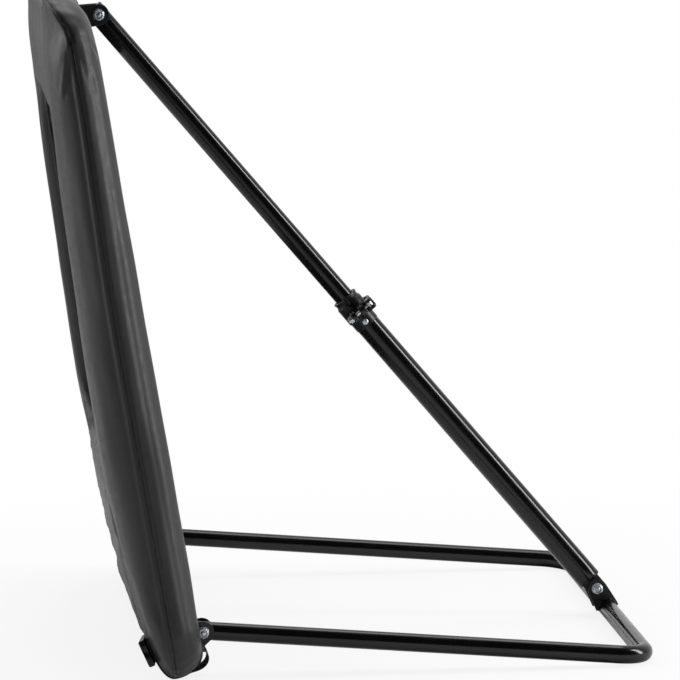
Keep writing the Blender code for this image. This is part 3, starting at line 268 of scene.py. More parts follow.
def hollow_tube(path, radius, wall, reference, sides=48, depth=40 * MM, edge=0.5 * MM):
    """A tube along a path with open mouths: inner wall, rounded rim and outer wall at each end."""
    directions = path_directions(path)
    inner = radius - wall
    rim = np.array([(-depth, inner), (-edge, inner), (0, inner + edge), (0, radius - edge),
                    (-edge * 0.3, radius - edge * 0.3), (-edge, radius)])
    start = path[0] - rim[:, :1] * directions[0]
    end = (path[-1] + rim[:, :1] * directions[-1])[::-1]
    middle = path[1:-1]
    ways = np.concatenate([np.repeat(directions[:1], len(rim), 0), directions[1:-1],
                           np.repeat(directions[-1:], len(rim), 0)])
    radii = np.concatenate([rim[:, 1], np.full(len(middle), radius), rim[::-1, 1]])
    rows = swept_rows(np.concatenate([start, middle, end]), ways, radii, reference, sides)
    return grid_shape(rows, caps=(True, True))


HEX_POINTS = 72
CHAMFER_CIRCLE = 0.97
CHAMFER_SLOPE = 0.55
UNDERSIDE_EDGE = 0.2 * MM


def hexagon(across, low, high, centre, ways, face=()):
    """A hexagonal prism from low to high whose corners are cut by a cone, with optional
    (radius share, shift along the axis) rows across its outer face."""
    turn = full_turn(HEX_POINTS)
    radius = across / 2 / np.cos((turn + math.pi / 6) % (math.pi / 3) - math.pi / 6)
    outwards = np.sign(high - low)
    circle = across / 2 * CHAMFER_CIRCLE
    cone = high - (radius - circle) * CHAMFER_SLOPE * outwards
    still = np.ones(HEX_POINTS)
    pairs = [(radius * CHAMFER_CIRCLE, still * low),
             (radius, still * (low + outwards * UNDERSIDE_EDGE)),
             (radius, cone), (circle * still, still * high)]
    pairs += [(circle * share * still, still * (high + shift)) for share, shift in face]
    ring = ring_about(ways, HEX_POINTS)
    rows = [np.asarray(centre) + along[:, None] * ways[0] + r[:, None] * ring
            for r, along in pairs]
    return grid_shape(np.stack(rows), caps=(True, True))


print("a ring of 4 directions:", ring_about(WIDE_WAYS, 4).round(3).tolist())

# %% [markdown]
# Brackets, plugs and foam have the right shape in the solids already, so each is a merged copy
# whose edges are rounded by a bevel. The copy is merged first, because a solid's mesh is loose
# triangles, and its points can be moved by a function, as the settled foam needs.

# %% Copies of solids
MERGE_DISTANCE = 0.01 * MM
FLAT_ANGLE = math.radians(1)
EDGE_ANGLE = math.radians(32)


def dressed_copy(node, material, bevel, warp=None):
    """A merged copy of a solid whose edges are rounded, and whose points may be moved."""
    source = frame["nodes"][node]
    work = bmesh.new()
    work.from_mesh(source.data)
    bmesh.ops.remove_doubles(work, verts=work.verts, dist=MERGE_DISTANCE)
    bmesh.ops.dissolve_limit(work, angle_limit=FLAT_ANGLE, verts=work.verts, edges=work.edges)
    mesh = bpy.data.meshes.new(node + "_form")
    work.to_mesh(mesh)
    work.free()
    if warp is not None:
        places = np.empty(len(mesh.vertices) * 3, np.float32)
        mesh.vertices.foreach_get("co", places)
        moved = warp(places.reshape(-1, 3).astype(float))
        mesh.vertices.foreach_set("co", moved.astype(np.float32).ravel())
        mesh.update()
    mesh.polygons.foreach_set("use_smooth", np.ones(len(mesh.polygons), bool))
    mesh.set_sharp_from_angle(angle=EDGE_ANGLE)
    mesh.materials.clear()
    mesh.materials.append(material)
    piece = finish_piece(node + "_form", mesh, body_of(source)[0], (node,))
    if bevel:
        rounding = piece.modifiers.new("rounding", "BEVEL")
        rounding.width = bevel
        rounding.segments = 3
        rounding.limit_method = "ANGLE"
        rounding.angle_limit = EDGE_ANGLE
        rounding.harden_normals = False
    return piece


def middle_of(node):
    low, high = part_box(node)
    return (np.array(low) + np.array(high)) / 2


print("solids to dress:", len(frame["nodes"]))

# %% [markdown]
# ## Colours and node trees
# Colours are written as sRGB hex, the way a picture shows them, and one function turns them
# to the linear values that the shader needs. One more function adds a node with its settings
# and links, and that is all that the materials below are written with.

# %% Colour and node helpers


def linear(code):
    """sRGB hex to linear: the low end is divided by 12.92, the rest follows the 2.4 power law."""
    value = np.array([int(code[i:i + 2], 16) / 255 for i in (0, 2, 4)])
    value = np.where(value <= 0.04045, value / 12.92, ((value + 0.055) / 1.055) ** 2.4)
    return (*value.tolist(), 1.0)


def connect(tree, node, **inputs):
    """Set a node's inputs to values, or link them from sockets. An input goes by its name, with
    _ for a space, or by i and its number."""
    for key, value in inputs.items():
        numbered = key[0] == "i" and key[1:].isdigit()
        socket = node.inputs[int(key[1:]) if numbered else key.replace("_", " ")]
        if isinstance(value, bpy.types.NodeSocket):
            tree.links.new(value, socket)
        else:
            socket.default_value = value


def add(tree, kind, settings=None, output=0, **inputs):
    """Add a node with its own settings and its inputs, and give back one of its outputs."""
    made = tree.nodes.new(kind)
    for key, value in (settings or {}).items():
        setattr(made, key, value)
    connect(tree, made, **inputs)
    return made.outputs[output]


def new_material(name):
    """An empty material with its shader and output joined."""
    material = bpy.data.materials.new(name)
    material.use_nodes = True
    tree = material.node_tree
    tree.nodes.clear()
    shader = tree.nodes.new("ShaderNodeBsdfPrincipled")
    connect(tree, tree.nodes.new("ShaderNodeOutputMaterial"), Surface=shader.outputs["BSDF"])
    return material, tree, shader


PLUS, TIMES, SINE = ({"operation": name} for name in ("ADD", "MULTIPLY", "SINE"))
COLOURS = {"data_type": "RGBA"}
COLOUR_OUT = 2
OCTAVE = 0.55
print("grey 808080 is", round(linear("808080")[0], 3), "in linear light")

# %% [markdown]
# ## Coated cloth
# The cover is nylon cloth with a thin coat of soft vinyl. The coat gives a broad, weak gloss and
# the cloth under it a fine grid of threads. A picture of cloth could be tiled over it, but a
# product of two waves along the UV map, which is in metres, draws the same grid at its true
# pitch. Real threads lie about 0.5 mm apart; they are drawn 1.4 mm apart so that the render can
# show them.

# %% Vinyl coated nylon
THREAD = 1.4 * MM
TAPE_THREAD = 2.2 * MM
LUMP = 90 * MM
CRUMPLE = 11 * MM


def weave(tree, pitch):
    """Height of a plain weave: sin(u) times sin(v), each with one turn in two threads."""
    place = add(tree, "ShaderNodeTexCoord", output="UV")
    waves = []
    for axis in ("X", "Y"):
        along = add(tree, "ShaderNodeSeparateXYZ", output=axis, Vector=place)
        turns = add(tree, "ShaderNodeMath", TIMES, i0=along, i1=math.pi / pitch)
        waves.append(add(tree, "ShaderNodeMath", SINE, i0=turns))
    return add(tree, "ShaderNodeMath", TIMES, i0=waves[0], i1=waves[1])


def coated_cloth(name, colour, lighter, roughness, pitch):
    """Tone from broad lumps, gloss from small crumples, and the threads as a bump."""
    material, tree, shader = new_material(name)
    place = add(tree, "ShaderNodeTexCoord", output="Object")
    lumps = add(tree, "ShaderNodeTexNoise", Vector=place, Scale=1 / LUMP, Detail=4.0,
                Roughness=OCTAVE)
    crumples = add(tree, "ShaderNodeTexNoise", Vector=place, Scale=1 / CRUMPLE, Detail=2.0,
                   Roughness=OCTAVE)
    part = add(tree, "ShaderNodeMapRange", Value=lumps, From_Min=0.35, From_Max=0.68)
    tone = add(tree, "ShaderNodeMix", COLOURS, COLOUR_OUT, i0=part, i6=linear(colour),
               i7=linear(lighter))
    wear = add(tree, "ShaderNodeMapRange", Value=crumples, From_Min=0.3, From_Max=0.7,
               To_Min=roughness - 0.05, To_Max=roughness + 0.06)
    threads = add(tree, "ShaderNodeBump", Height=weave(tree, pitch), Strength=0.22,
                  Distance=0.12 * MM)
    relief = add(tree, "ShaderNodeBump", Height=crumples, Strength=0.25, Distance=0.5 * MM,
                 Normal=threads)
    connect(tree, shader, Base_Color=tone, Roughness=wear, Normal=relief, Sheen_Weight=0.03,
            Sheen_Roughness=0.5)
    return material


COVER_CLOTH = coated_cloth("vinyl_coated_nylon", "202022", "262628", 0.43, THREAD)
BINDING = coated_cloth("binding_tape", "18181A", "1E1E20", 0.55, TAPE_THREAD)
print("materials:", len(bpy.data.materials))

# %% [markdown]
# ## Powder coat
# The tubes are sprayed with black powder and baked, which melts it to a hard gloss skin with
# the faint dimples of orange peel, about 4 mm across. The brackets have the same coat with
# less gloss and a finer grain. The eye meets the coat and not the steel, so it isn't metallic.

# %% Powder coated steel
DUST = 35 * MM


def powder_coat(name, colour, roughness, peel_size, peel):
    """One colour, gloss that a little dust dulls in places, and orange peel as a bump."""
    material, tree, shader = new_material(name)
    place = add(tree, "ShaderNodeTexCoord", output="Object")
    dimples = add(tree, "ShaderNodeTexNoise", Vector=place, Scale=1 / peel_size, Detail=2.0,
                  Roughness=OCTAVE)
    dust = add(tree, "ShaderNodeTexNoise", Vector=place, Scale=1 / DUST, Detail=1.0,
               Roughness=OCTAVE)
    wear = add(tree, "ShaderNodeMapRange", Value=dust, From_Min=0.4, From_Max=0.75,
               To_Min=roughness, To_Max=roughness + 0.09)
    relief = add(tree, "ShaderNodeBump", Height=dimples, Strength=peel, Distance=0.1 * MM)
    connect(tree, shader, Base_Color=linear(colour), Roughness=wear, Normal=relief)
    return material


GLOSS_BLACK = powder_coat("gloss_black_powder_coat", "09090A", 0.16, 4 * MM, 0.008)
SATIN_BLACK = powder_coat("satin_black_powder_coat", "0C0C0D", 0.3, 1.2 * MM, 0.25)
print("materials:", len(bpy.data.materials))

# %% [markdown]
# ## Zinc, nylon and foam
# Screws and washers are steel with a bright zinc plate: a metal with a pale grey colour and fine
# turning marks. The clamp, plugs and buckles are moulded nylon with a faint spark-eroded grain.
# The foam is grey polyethylene with cells that a close look shows as a matt grain.

# %% Zinc plate
TURNING_MARK = 0.6 * MM
ZINC_CLOUD = 6 * MM


def zinc_plate(name, colour, darker, roughness):
    """A metal whose tone goes in small clouds and whose gloss is broken by turning marks."""
    material, tree, shader = new_material(name)
    place = add(tree, "ShaderNodeTexCoord", output="Object")
    marks = add(tree, "ShaderNodeTexNoise", Vector=place, Scale=1 / TURNING_MARK, Detail=4.0,
                Roughness=OCTAVE)
    cloud = add(tree, "ShaderNodeTexNoise", Vector=place, Scale=1 / ZINC_CLOUD, Detail=3.0,
                Roughness=OCTAVE)
    part = add(tree, "ShaderNodeMapRange", Value=cloud, From_Min=0.35, From_Max=0.7)
    tone = add(tree, "ShaderNodeMix", COLOURS, COLOUR_OUT, i0=part, i6=linear(colour),
               i7=linear(darker))
    wear = add(tree, "ShaderNodeMapRange", Value=marks, From_Min=0.3, From_Max=0.7,
               To_Min=roughness, To_Max=roughness + 0.14)
    relief = add(tree, "ShaderNodeBump", Height=marks, Strength=0.25, Distance=0.04 * MM)
    connect(tree, shader, Base_Color=tone, Metallic=1.0, Roughness=wear, Normal=relief)
    return material


ZINC = zinc_plate("bright_zinc_plate", "E4E6EA", "C4C7CC", 0.34)
print("materials:", len(bpy.data.materials))

# %% Moulded nylon and foam
MOULD_CLOUD = 20 * MM


def moulded(name, colour, lighter, roughness, grain):
    """Tone and gloss from the same soft clouds, and the grain of the mould or cells as a bump."""
    material, tree, shader = new_material(name)
    place = add(tree, "ShaderNodeTexCoord", output="Object")
    grains = add(tree, "ShaderNodeTexNoise", Vector=place, Scale=1 / grain, Detail=3.0,
                 Roughness=OCTAVE)
    cloud = add(tree, "ShaderNodeTexNoise", Vector=place, Scale=1 / MOULD_CLOUD, Detail=3.0,
                Roughness=OCTAVE)
    tone = add(tree, "ShaderNodeMix", COLOURS, COLOUR_OUT, i0=cloud, i6=linear(colour),
               i7=linear(lighter))
    wear = add(tree, "ShaderNodeMapRange", Value=cloud, From_Min=0.35, From_Max=0.7,
               To_Min=roughness - 0.04, To_Max=roughness + 0.08)
    relief = add(tree, "ShaderNodeBump", Height=grains, Strength=0.3, Distance=0.08 * MM)
    connect(tree, shader, Base_Color=tone, Roughness=wear, Normal=relief)
    return material


NYLON = moulded("moulded_nylon", "0D0D0E", "141415", 0.32, 0.7 * MM)
FOAM = moulded("closed_cell_foam", "6A6A6C", "777779", 0.9, 1.5 * MM)
print("materials:", len(bpy.data.materials))

# %% [markdown]
# ## Webbing and cord
# Webbing is woven from polypropylene in ribs 1.7 mm apart, and the net and the sewing thread are
# laid from twisted strands. Both patterns are waves along the UV map, the cord's at a slant, so
# they follow the piece round every bend. The same waves also set the colour, darker in the
# hollows and lighter on the crests: that is painted shade.

# %% Woven webbing and twisted cord


def webbing(name, colour, lighter, rib):
    """Ribs across the strap, each a half wave, broken by the threads that run along it.
    The colour follows the same height, with painted shade in the hollows.
    """
    material, tree, shader = new_material(name)
    height = weave(tree, rib)
    # Painted shade: the colour is darker where the weave is low and lighter where it is high.
    part = add(tree, "ShaderNodeMapRange", Value=height, From_Min=-1.0)
    tone = add(tree, "ShaderNodeMix", COLOURS, COLOUR_OUT, i0=part, i6=linear(colour),
               i7=linear(lighter))
    relief = add(tree, "ShaderNodeBump", Height=height, Strength=0.6, Distance=0.3 * MM)
    connect(tree, shader, Base_Color=tone, Roughness=0.72, Sheen_Weight=0.12, Normal=relief)
    return material


def twisted_cord(name, colour, lighter, lay):
    """Strands that wind round the cord: a wave along u plus v, one strand in each lay length.
    The colour follows the strand, with painted shade in the grooves between strands.
    """
    material, tree, shader = new_material(name)
    place = add(tree, "ShaderNodeTexCoord", output="UV")
    u, v = [add(tree, "ShaderNodeSeparateXYZ", output=axis, Vector=place) for axis in ("X", "Y")]
    slant = add(tree, "ShaderNodeMath", PLUS, i0=u, i1=v)
    turns = add(tree, "ShaderNodeMath", TIMES, i0=slant, i1=2 * math.pi / lay)
    strand = add(tree, "ShaderNodeMath", SINE, i0=turns)
    # Painted shade: the colour is darker in the grooves between strands and lighter on their
    # crests.
    part = add(tree, "ShaderNodeMapRange", Value=strand, From_Min=-1.0)
    tone = add(tree, "ShaderNodeMix", COLOURS, COLOUR_OUT, i0=part, i6=linear(colour),
               i7=linear(lighter))
    relief = add(tree, "ShaderNodeBump", Height=strand, Strength=0.7, Distance=0.3 * MM)
    connect(tree, shader, Base_Color=tone, Roughness=0.68, Normal=relief)
    return material


# Each colour pair spans painted shade: the first shows in the hollows, the second on the crests.
WEBBING = webbing("polypropylene_webbing", "151516", "242426", 1.7 * MM)
NET_CORD_FINISH = twisted_cord("twisted_net_cord", "101011", "1E1E20", 2.6 * MM)
THREAD_FINISH = twisted_cord("sewing_thread", "232325", "3A3A3D", 0.8 * MM)
print("materials:", len(bpy.data.materials))

# %% [markdown]
# ## Camera, floor and light
# The object is seen through a long lens from the side, a little in front of the net and 7
# degrees above level. The camera stands where the legs, strut and panel edges put it. A long
# lens keeps the far leg almost as large as the near one.

# %% Camera
LENS_PIXELS = 4796.4
PHOTO_PIXELS = 680
SENSOR = 36.0
CAMERA_PLACE = (-0.37704 + LEG_PIVOT[0], -6.75864, 1.21854)
YAW, PITCH, ROLL = np.radians([5.0881, 6.8413, -0.4315])

look = np.array([math.sin(YAW) * math.cos(PITCH), math.cos(YAW) * math.cos(PITCH),
                 -math.sin(PITCH)])
right = np.cross(look, [0, 0, 1])
right /= np.linalg.norm(right)
up = np.cross(right, look)
rolled_right = right * math.cos(ROLL) + up * math.sin(ROLL)
rolled_up = up * math.cos(ROLL) - right * math.sin(ROLL)
camera_data = bpy.data.cameras.new("camera")
camera_data.sensor_fit = "HORIZONTAL"
camera_data.sensor_width = SENSOR
camera_data.lens = LENS_PIXELS / PHOTO_PIXELS * SENSOR
camera_data.clip_end = 200
camera = bpy.data.objects.new("camera", camera_data)
bpy.context.scene.collection.objects.link(camera)
camera.matrix_world = Matrix([*np.stack([rolled_right, rolled_up, -look, CAMERA_PLACE], 1).tolist(),
                              [0, 0, 0, 1]])
bpy.context.scene.camera = camera
bpy.context.scene.view_settings.view_transform = "Standard"
print("lens", round(camera_data.lens, 1), "mm")

# %% [markdown]
# The floor is white paper. Near the object the lamps light it, so it keeps the soft shadows;
# further off it passes to plain white, as a swept paper roll does in a studio. A curved backdrop
# could be modelled, but one flat sheet that turns white with distance looks the same.

# %% Floor
FLOOR_HALF = 30.0
SHADOW_RADIUS, WHITE_RADIUS = 0.4, 1.4
NEAR_WHITE = 0.84

paper, paper_tree, paper_shader = new_material("white_paper_floor")
connect(paper_tree, paper_shader, Base_Color=linear("F6F6F6"), Roughness=0.9,
        Specular_IOR_Level=0.1)
place = add(paper_tree, "ShaderNodeTexCoord", output="Object")
away = add(paper_tree, "ShaderNodeVectorMath", {"operation": "LENGTH"}, "Value", i0=place)
white = add(paper_tree, "ShaderNodeMapRange", Value=away, From_Min=SHADOW_RADIUS,
            From_Max=WHITE_RADIUS, To_Min=NEAR_WHITE)
seen = add(paper_tree, "ShaderNodeLightPath", output="Is Camera Ray")
far_white = add(paper_tree, "ShaderNodeMath", TIMES, i0=white, i1=seen)
glow = add(paper_tree, "ShaderNodeEmission", Color=(1, 1, 1, 1), Strength=1.0)
blend = add(paper_tree, "ShaderNodeMixShader", Fac=far_white, i1=paper_shader.outputs["BSDF"],
            i2=glow)
connect(paper_tree, paper_tree.nodes["Material Output"], Surface=blend)

floor_mesh = bpy.data.meshes.new("floor")
floor_corners = [(x * FLOOR_HALF, y * FLOOR_HALF, 0)
                 for x, y in ((-1, -1), (1, -1), (1, 1), (-1, 1))]
floor_mesh.from_pydata(floor_corners, [], [(0, 1, 2, 3)])
floor = bpy.data.objects.new("floor", floor_mesh)
floor_mesh.materials.append(paper)
bpy.context.scene.collection.objects.link(floor)
print("floor", 2 * FLOOR_HALF, "m wide")

# %% [markdown]
# Black things show their form by what they reflect. The studio is a white room: bright behind,
# beside and above, and dark only where the camera stands, which leaves the dark band down the
# middle of the padded edge. A tall strip lamp on the right draws the thin line on the tubes.

# %% Room
DARK_SIDE, BRIGHT_SIDE = -0.3, 0.75
DARK_WALL, BRIGHT_WALL = 0.03, 0.75

world = bpy.data.worlds.new("studio")
bpy.context.scene.world = world
world.use_nodes = True
sky = world.node_tree
sky.nodes.clear()
direction = add(sky, "ShaderNodeTexCoord", output="Generated")
behind = add(sky, "ShaderNodeSeparateXYZ", output="Y", Vector=direction)
room = add(sky, "ShaderNodeMapRange", Value=behind, From_Min=DARK_SIDE, From_Max=BRIGHT_SIDE,
           To_Min=DARK_WALL, To_Max=BRIGHT_WALL)
seen = add(sky, "ShaderNodeLightPath", output="Is Camera Ray")
strength = add(sky, "ShaderNodeMix", {"data_type": "FLOAT"}, i0=seen, i2=room, i3=1.0)
background = add(sky, "ShaderNodeBackground", Color=(1, 1, 1, 1), Strength=strength)
connect(sky, sky.nodes.new("ShaderNodeOutputWorld"), Surface=background)
print("world nodes:", len(sky.nodes))

# %% Lamps
# Each lamp: name, place, aim, width, height and brightness.
LAMPS = (("left_box", (-3.1, 0.7, 1.5), (-0.2, 0, 0.4), 1.5, 2.6, 3.2),
         ("right_strip", (3.2, -0.7, 1.6), (0.2, 0, 0.4), 0.6, 2.8, 14.0),
         ("top_box", (0.0, 0.9, 3.4), (0.0, 0, 0), 3.0, 1.6, 2.6))
for name, place, aim, width, height, brightness in LAMPS:
    data = bpy.data.lights.new(name, "AREA")
    data.shape = "RECTANGLE"
    data.size, data.size_y = width, height
    data.energy = brightness * width * height * math.pi
    lamp = bpy.data.objects.new(name, data)
    bpy.context.scene.collection.objects.link(lamp)
    lamp.location = place
    lamp.rotation_euler = (Vector(place) - Vector(aim)).to_track_quat("Z", "Y").to_euler()
print("lamps:", len(bpy.data.lights))

# %% [markdown]
# ## The padded covers
# The front and rear covers are cut to the panel's outline and meet in a seam round its edge.
# They could be sculpted, but a section through the border is a plain curve: a quarter of an
# ellipse from the seam to the crest, and a smaller one from the crest into the window. The
# section is carried round the panel as loops that pass from the outer rounded rectangle to the
# one round the window.

# %% Outline of the panel
PANEL_WIDTH = 990 * MM
PANEL_TOP = 880 * MM
PANEL_THICKNESS = 80 * MM
PANEL_CORNER = 75 * MM
REAR_T = -5.6 * MM
MID_T = REAR_T - PANEL_THICKNESS / 2
FRONT_T = REAR_T - PANEL_THICKNESS
PIVOT_HEIGHT = LEG_PIVOT[2]
FLOOR_GAP = 2.6 * MM
WINDOW_WIDTH = 770 * MM
WINDOW_LOW = 207 * MM
WINDOW_HIGH = 712 * MM
WINDOW_CORNER = 60 * MM
WINDOW_ROLL = 15 * MM
REAR_ROLL = 36 * MM
REAR_TOP_ROLL = 60 * MM

# The edge clears the floor where the front border, bowed down, comes lowest.
BORDER_SHARE = 1.2
sweep_angle = np.radians(np.arange(0, 31))
dip = (WINDOW_LOW - WINDOW_ROLL) * (1 - np.cos(sweep_angle)) * BORDER_SHARE * math.cos(LEAN) \
    - PANEL_THICKNESS / 2 * np.sin(sweep_angle) * math.sin(LEAN)
PANEL_LOW = (FLOOR_GAP - PIVOT_HEIGHT - MID_T * math.sin(LEAN) - dip.min()) / math.cos(LEAN)
print("bottom edge of the panel at", round(PANEL_LOW / MM, 1), "mm from the pivot")

# %% Loops round the panel
CORNER_POINTS = 26
SIDE_POINTS = 118
LOOP = 4 * (CORNER_POINTS + SIDE_POINTS)


def round_rectangle(half_width, low, high, radius):
    """(y, s) round a rectangle with quarter circle corners, anticlockwise from the low right."""
    turn = np.linspace(0, math.pi / 2, CORNER_POINTS + 1)
    part = np.arange(1, SIDE_POINTS)[:, None] / SIDE_POINTS
    centres = [(half_width - radius, low + radius), (half_width - radius, high - radius),
               (radius - half_width, high - radius), (radius - half_width, low + radius)]
    corners = []
    for quarter, (y, s) in zip((-1, 0, 1, 2), centres):
        angle = turn + quarter * math.pi / 2
        corners.append(np.stack([y + radius * np.cos(angle), s + radius * np.sin(angle)], 1))
    pieces = []
    for here, following in zip(corners, corners[1:] + corners[:1]):
        pieces += [here, here[-1] + (following[0] - here[-1]) * part]
    return np.concatenate(pieces)


def outer_loop():
    return round_rectangle(PANEL_WIDTH / 2, PANEL_LOW, PANEL_TOP, PANEL_CORNER)


def window_loop(outset=0.0):
    return round_rectangle(WINDOW_WIDTH / 2 + outset, WINDOW_LOW - outset, WINDOW_HIGH + outset,
                           WINDOW_CORNER + outset)


def rear_crest_loop():
    return round_rectangle(PANEL_WIDTH / 2 - REAR_ROLL, PANEL_LOW + REAR_ROLL,
                           PANEL_TOP - REAR_TOP_ROLL, PANEL_CORNER - REAR_ROLL)


print("points in a loop:", len(outer_loop()))

# %% [markdown]
# Two curves shape nearly all that follows: an S-shaped step that passes from 0 to 1, and a bell.
# The seam and the bow of the front are written with them, in metres up the panel.

# %% Steps, bells, seam and bow
SEAM_DRIFT, DRIFT_FROM, DRIFT_OVER = 9 * MM, 420 * MM, 380 * MM
SEAM_SWING, SWING_FROM, SWING_OVER = 26 * MM, 820 * MM, 70 * MM
FRONT_BOW = 6 * MM
BOW_REACH = 0.62 * (WINDOW_HIGH - WINDOW_LOW)
WINDOW_MIDDLE = (WINDOW_HIGH + WINDOW_LOW) / 2


def step(value, start, width):
    """0 up to start, 1 from start + width on, and 3 p squared - 2 p cubed between."""
    part = np.clip((value - start) / width, 0, 1)
    return part * part * (3 - 2 * part)


def bell(value, middle, width):
    """exp(-((value - middle) / width) squared)."""
    return np.exp(-((value - middle) / width) ** 2)


def seam_depth(s):
    """The outer seam drifts to the rear up the side, and swings forward over the top corner."""
    return MID_T + SEAM_DRIFT * step(s, DRIFT_FROM, DRIFT_OVER) \
        - SEAM_SWING * step(s, SWING_FROM, SWING_OVER)


def front_bow(s):
    """The front bows out by a step that ends on both sides of the window's middle."""
    return FRONT_BOW * step(BOW_REACH - np.abs(s - WINDOW_MIDDLE), 0, BOW_REACH)


print("seam at the top", round(float(seam_depth(PANEL_TOP)) / MM, 1), "mm behind the pivot")

# %% Sections of the two covers
FRONT_ROWS = 34
ROLL_ROWS = 10
REAR_ROWS = 18
FLAT_ROWS = 26
FULLNESS = 0.86


def sweep(outer, inner, angles, power=1.0):
    """Loops that pass from outer to inner by 1 - cos(angle) ** power: (rows, loop, 2)."""
    return outer + (inner - outer) * (1 - np.cos(angles) ** power)[:, None, None]


def front_surface():
    """(rows, loop, 3) of t, y, s: outer seam, crest, window edge at the middle of the foam."""
    crest = window_loop(WINDOW_ROLL)
    rise = np.linspace(0, math.pi / 2, FRONT_ROWS)
    border = sweep(outer_loop(), crest, rise, FULLNESS)
    seam = seam_depth(border[..., 1])
    height = seam - FRONT_T + front_bow(border[..., 1])
    border_t = seam - (np.sin(rise) ** FULLNESS)[:, None] * height
    fall = np.linspace(math.pi / 2, 0, ROLL_ROWS)[1:]
    roll = sweep(window_loop(), crest, fall)
    roll_t = MID_T - np.sin(fall)[:, None] * (MID_T - FRONT_T + front_bow(roll[..., 1]))
    y, s = np.moveaxis(np.concatenate([border, roll]), 2, 0)
    return np.stack([np.concatenate([border_t, roll_t]), y, s], 2)


def rear_surface():
    """(rows, loop, 3) of t, y, s: outer seam, rear crest, flat, window edge."""
    crest = rear_crest_loop()
    inner = window_loop(WINDOW_ROLL)
    rise = np.linspace(0, math.pi / 2, REAR_ROWS)
    border = sweep(outer_loop(), crest, rise)
    seam = seam_depth(border[..., 1])
    border_t = seam + np.sin(rise)[:, None] * (REAR_T - seam)
    part = np.linspace(0, 1, FLAT_ROWS)[1:-1, None, None]
    flat = crest + (inner - crest) * part
    flat_t = np.full(flat.shape[:2], REAR_T)
    fall = np.linspace(math.pi / 2, 0, ROLL_ROWS)
    roll = sweep(window_loop(), inner, fall)
    roll_t = MID_T + np.sin(fall)[:, None] * (REAR_T - MID_T) * np.ones(LOOP)
    y, s = np.moveaxis(np.concatenate([border, flat, roll]), 2, 0)
    return np.stack([np.concatenate([border_t, flat_t, roll_t]), y, s], 2)


# %% [markdown]
# Foam settles in use. Here the front has become a little thinner at the top and fuller towards
# the bottom, and the slack middle of the bottom border hangs forward between two upright dents.
# That is added as one shift in depth, so that cloth, foam and buckles can all follow it.

# %% Settled depth
SWELL_S = np.array([-60, 20, 80, 141, 182, 223, 263, 304,
                    345, 386, 426, 467, 540, 650, 760, 880]) * MM
SWELL = np.array([0, 1.5, 3, 7, 8.5, 9.5, 8.5, 6,
                  4, 2, 0.4, -1.5, -2.5, -4, -7.5, -9]) * MM
BELLY, BELLY_S, BELLY_SPREAD = 8 * MM, 50 * MM, 70 * MM
BELLY_HALF, BELLY_SIDE = 374 * MM, 26 * MM
DENT, DENT_Y, DENT_SPREAD = 9 * MM, 384 * MM, 10 * MM
DENT_TOP, DENT_FADE = 205 * MM, 40 * MM


def settled(t, y, s):
    """Depth after the foam has settled, in full at the front and not at all behind the seam."""
    seam = seam_depth(s)
    front = np.clip((seam - t) / (seam - FRONT_T), 0, 1)
    belly = BELLY * step(BELLY_HALF - np.abs(y), 0, BELLY_SIDE) * bell(s, BELLY_S, BELLY_SPREAD)
    dent = DENT * bell(np.abs(y), DENT_Y, DENT_SPREAD) * step(DENT_TOP - s, 0, DENT_FADE)
    return t - front * (np.interp(s, SWELL_S, SWELL) + belly - dent)


def settle_points(points):
    """The same shift for points in space."""
    t, y, s = panel_values(points)
    return on_panel(settled(t, y, s), y, s)


def grid_normals(points, outward):
    """Unit normals of a grid that wraps in its second direction, towards outward on average."""
    along = (np.roll(points, -1, 1) - np.roll(points, 1, 1)) / 2
    normal = np.cross(along, np.gradient(points, axis=0))
    normal /= np.linalg.norm(normal, axis=2, keepdims=True) + 1e-12
    return normal * np.sign((normal * outward).sum(2).mean())


def arc_lengths(points):
    """Metres down each column and metres round the loop."""
    down = np.linalg.norm(np.diff(points, axis=0), axis=2)
    down = np.concatenate([np.zeros((1, points.shape[1])), np.cumsum(down, 0)])
    middle = points[len(points) // 3]
    steps = np.linalg.norm(np.roll(middle, -1, 0) - middle, axis=1)
    return down, np.broadcast_to(np.concatenate([[0], np.cumsum(steps)[:-1]]), down.shape)


FRONT_OUT = np.array([-1.0, 0.0, 0.0])
REAR_OUT = np.array([1.0, 0.0, 0.0])
front_rest, rear_rest = front_surface(), rear_surface()
front_rest[..., 0] = settled(*np.moveaxis(front_rest, 2, 0))
print("front grid", front_rest.shape, "rear grid", rear_rest.shape)

# %% [markdown]
# The cloth is held by its seams, under the two straps, and round the slots for the brackets.
# Elsewhere the foam presses it outwards. Smooth formulas alone look like moulded plastic, so a
# cloth simulation adds the unevenness: a gentle pressure blows the covers up, and a soft cap
# keeps each movement small. It is run on a coarse copy of the grid, and its movement is then
# read off for every point of the fine one.

# %% Where the cloth is held
STRAP_HALF = 19 * MM
STRAP_HOLD, STRAP_FADE = 2 * MM, 18 * MM
STRAP_TOP, STRAP_TOP_FADE = 95 * MM, 40 * MM
REAR_HOLD, REAR_FADE = 5 * MM, 10 * MM
SLOT_HOLD, SLOT_FADE = 8 * MM, 20 * MM
LEG_Y = PANEL_WIDTH / 2 - 95 * MM
# Each slot: its middle across, half width, low edge and high edge.
TOP_SLOT = (0.0, 19 * MM, 798 * MM, 839 * MM)
LEG_SLOTS = [(side * LEG_Y, 29.2 * MM, -35.6 * MM, 20 * MM) for side in (-1, 1)]
SLOTS = [TOP_SLOT] + LEG_SLOTS


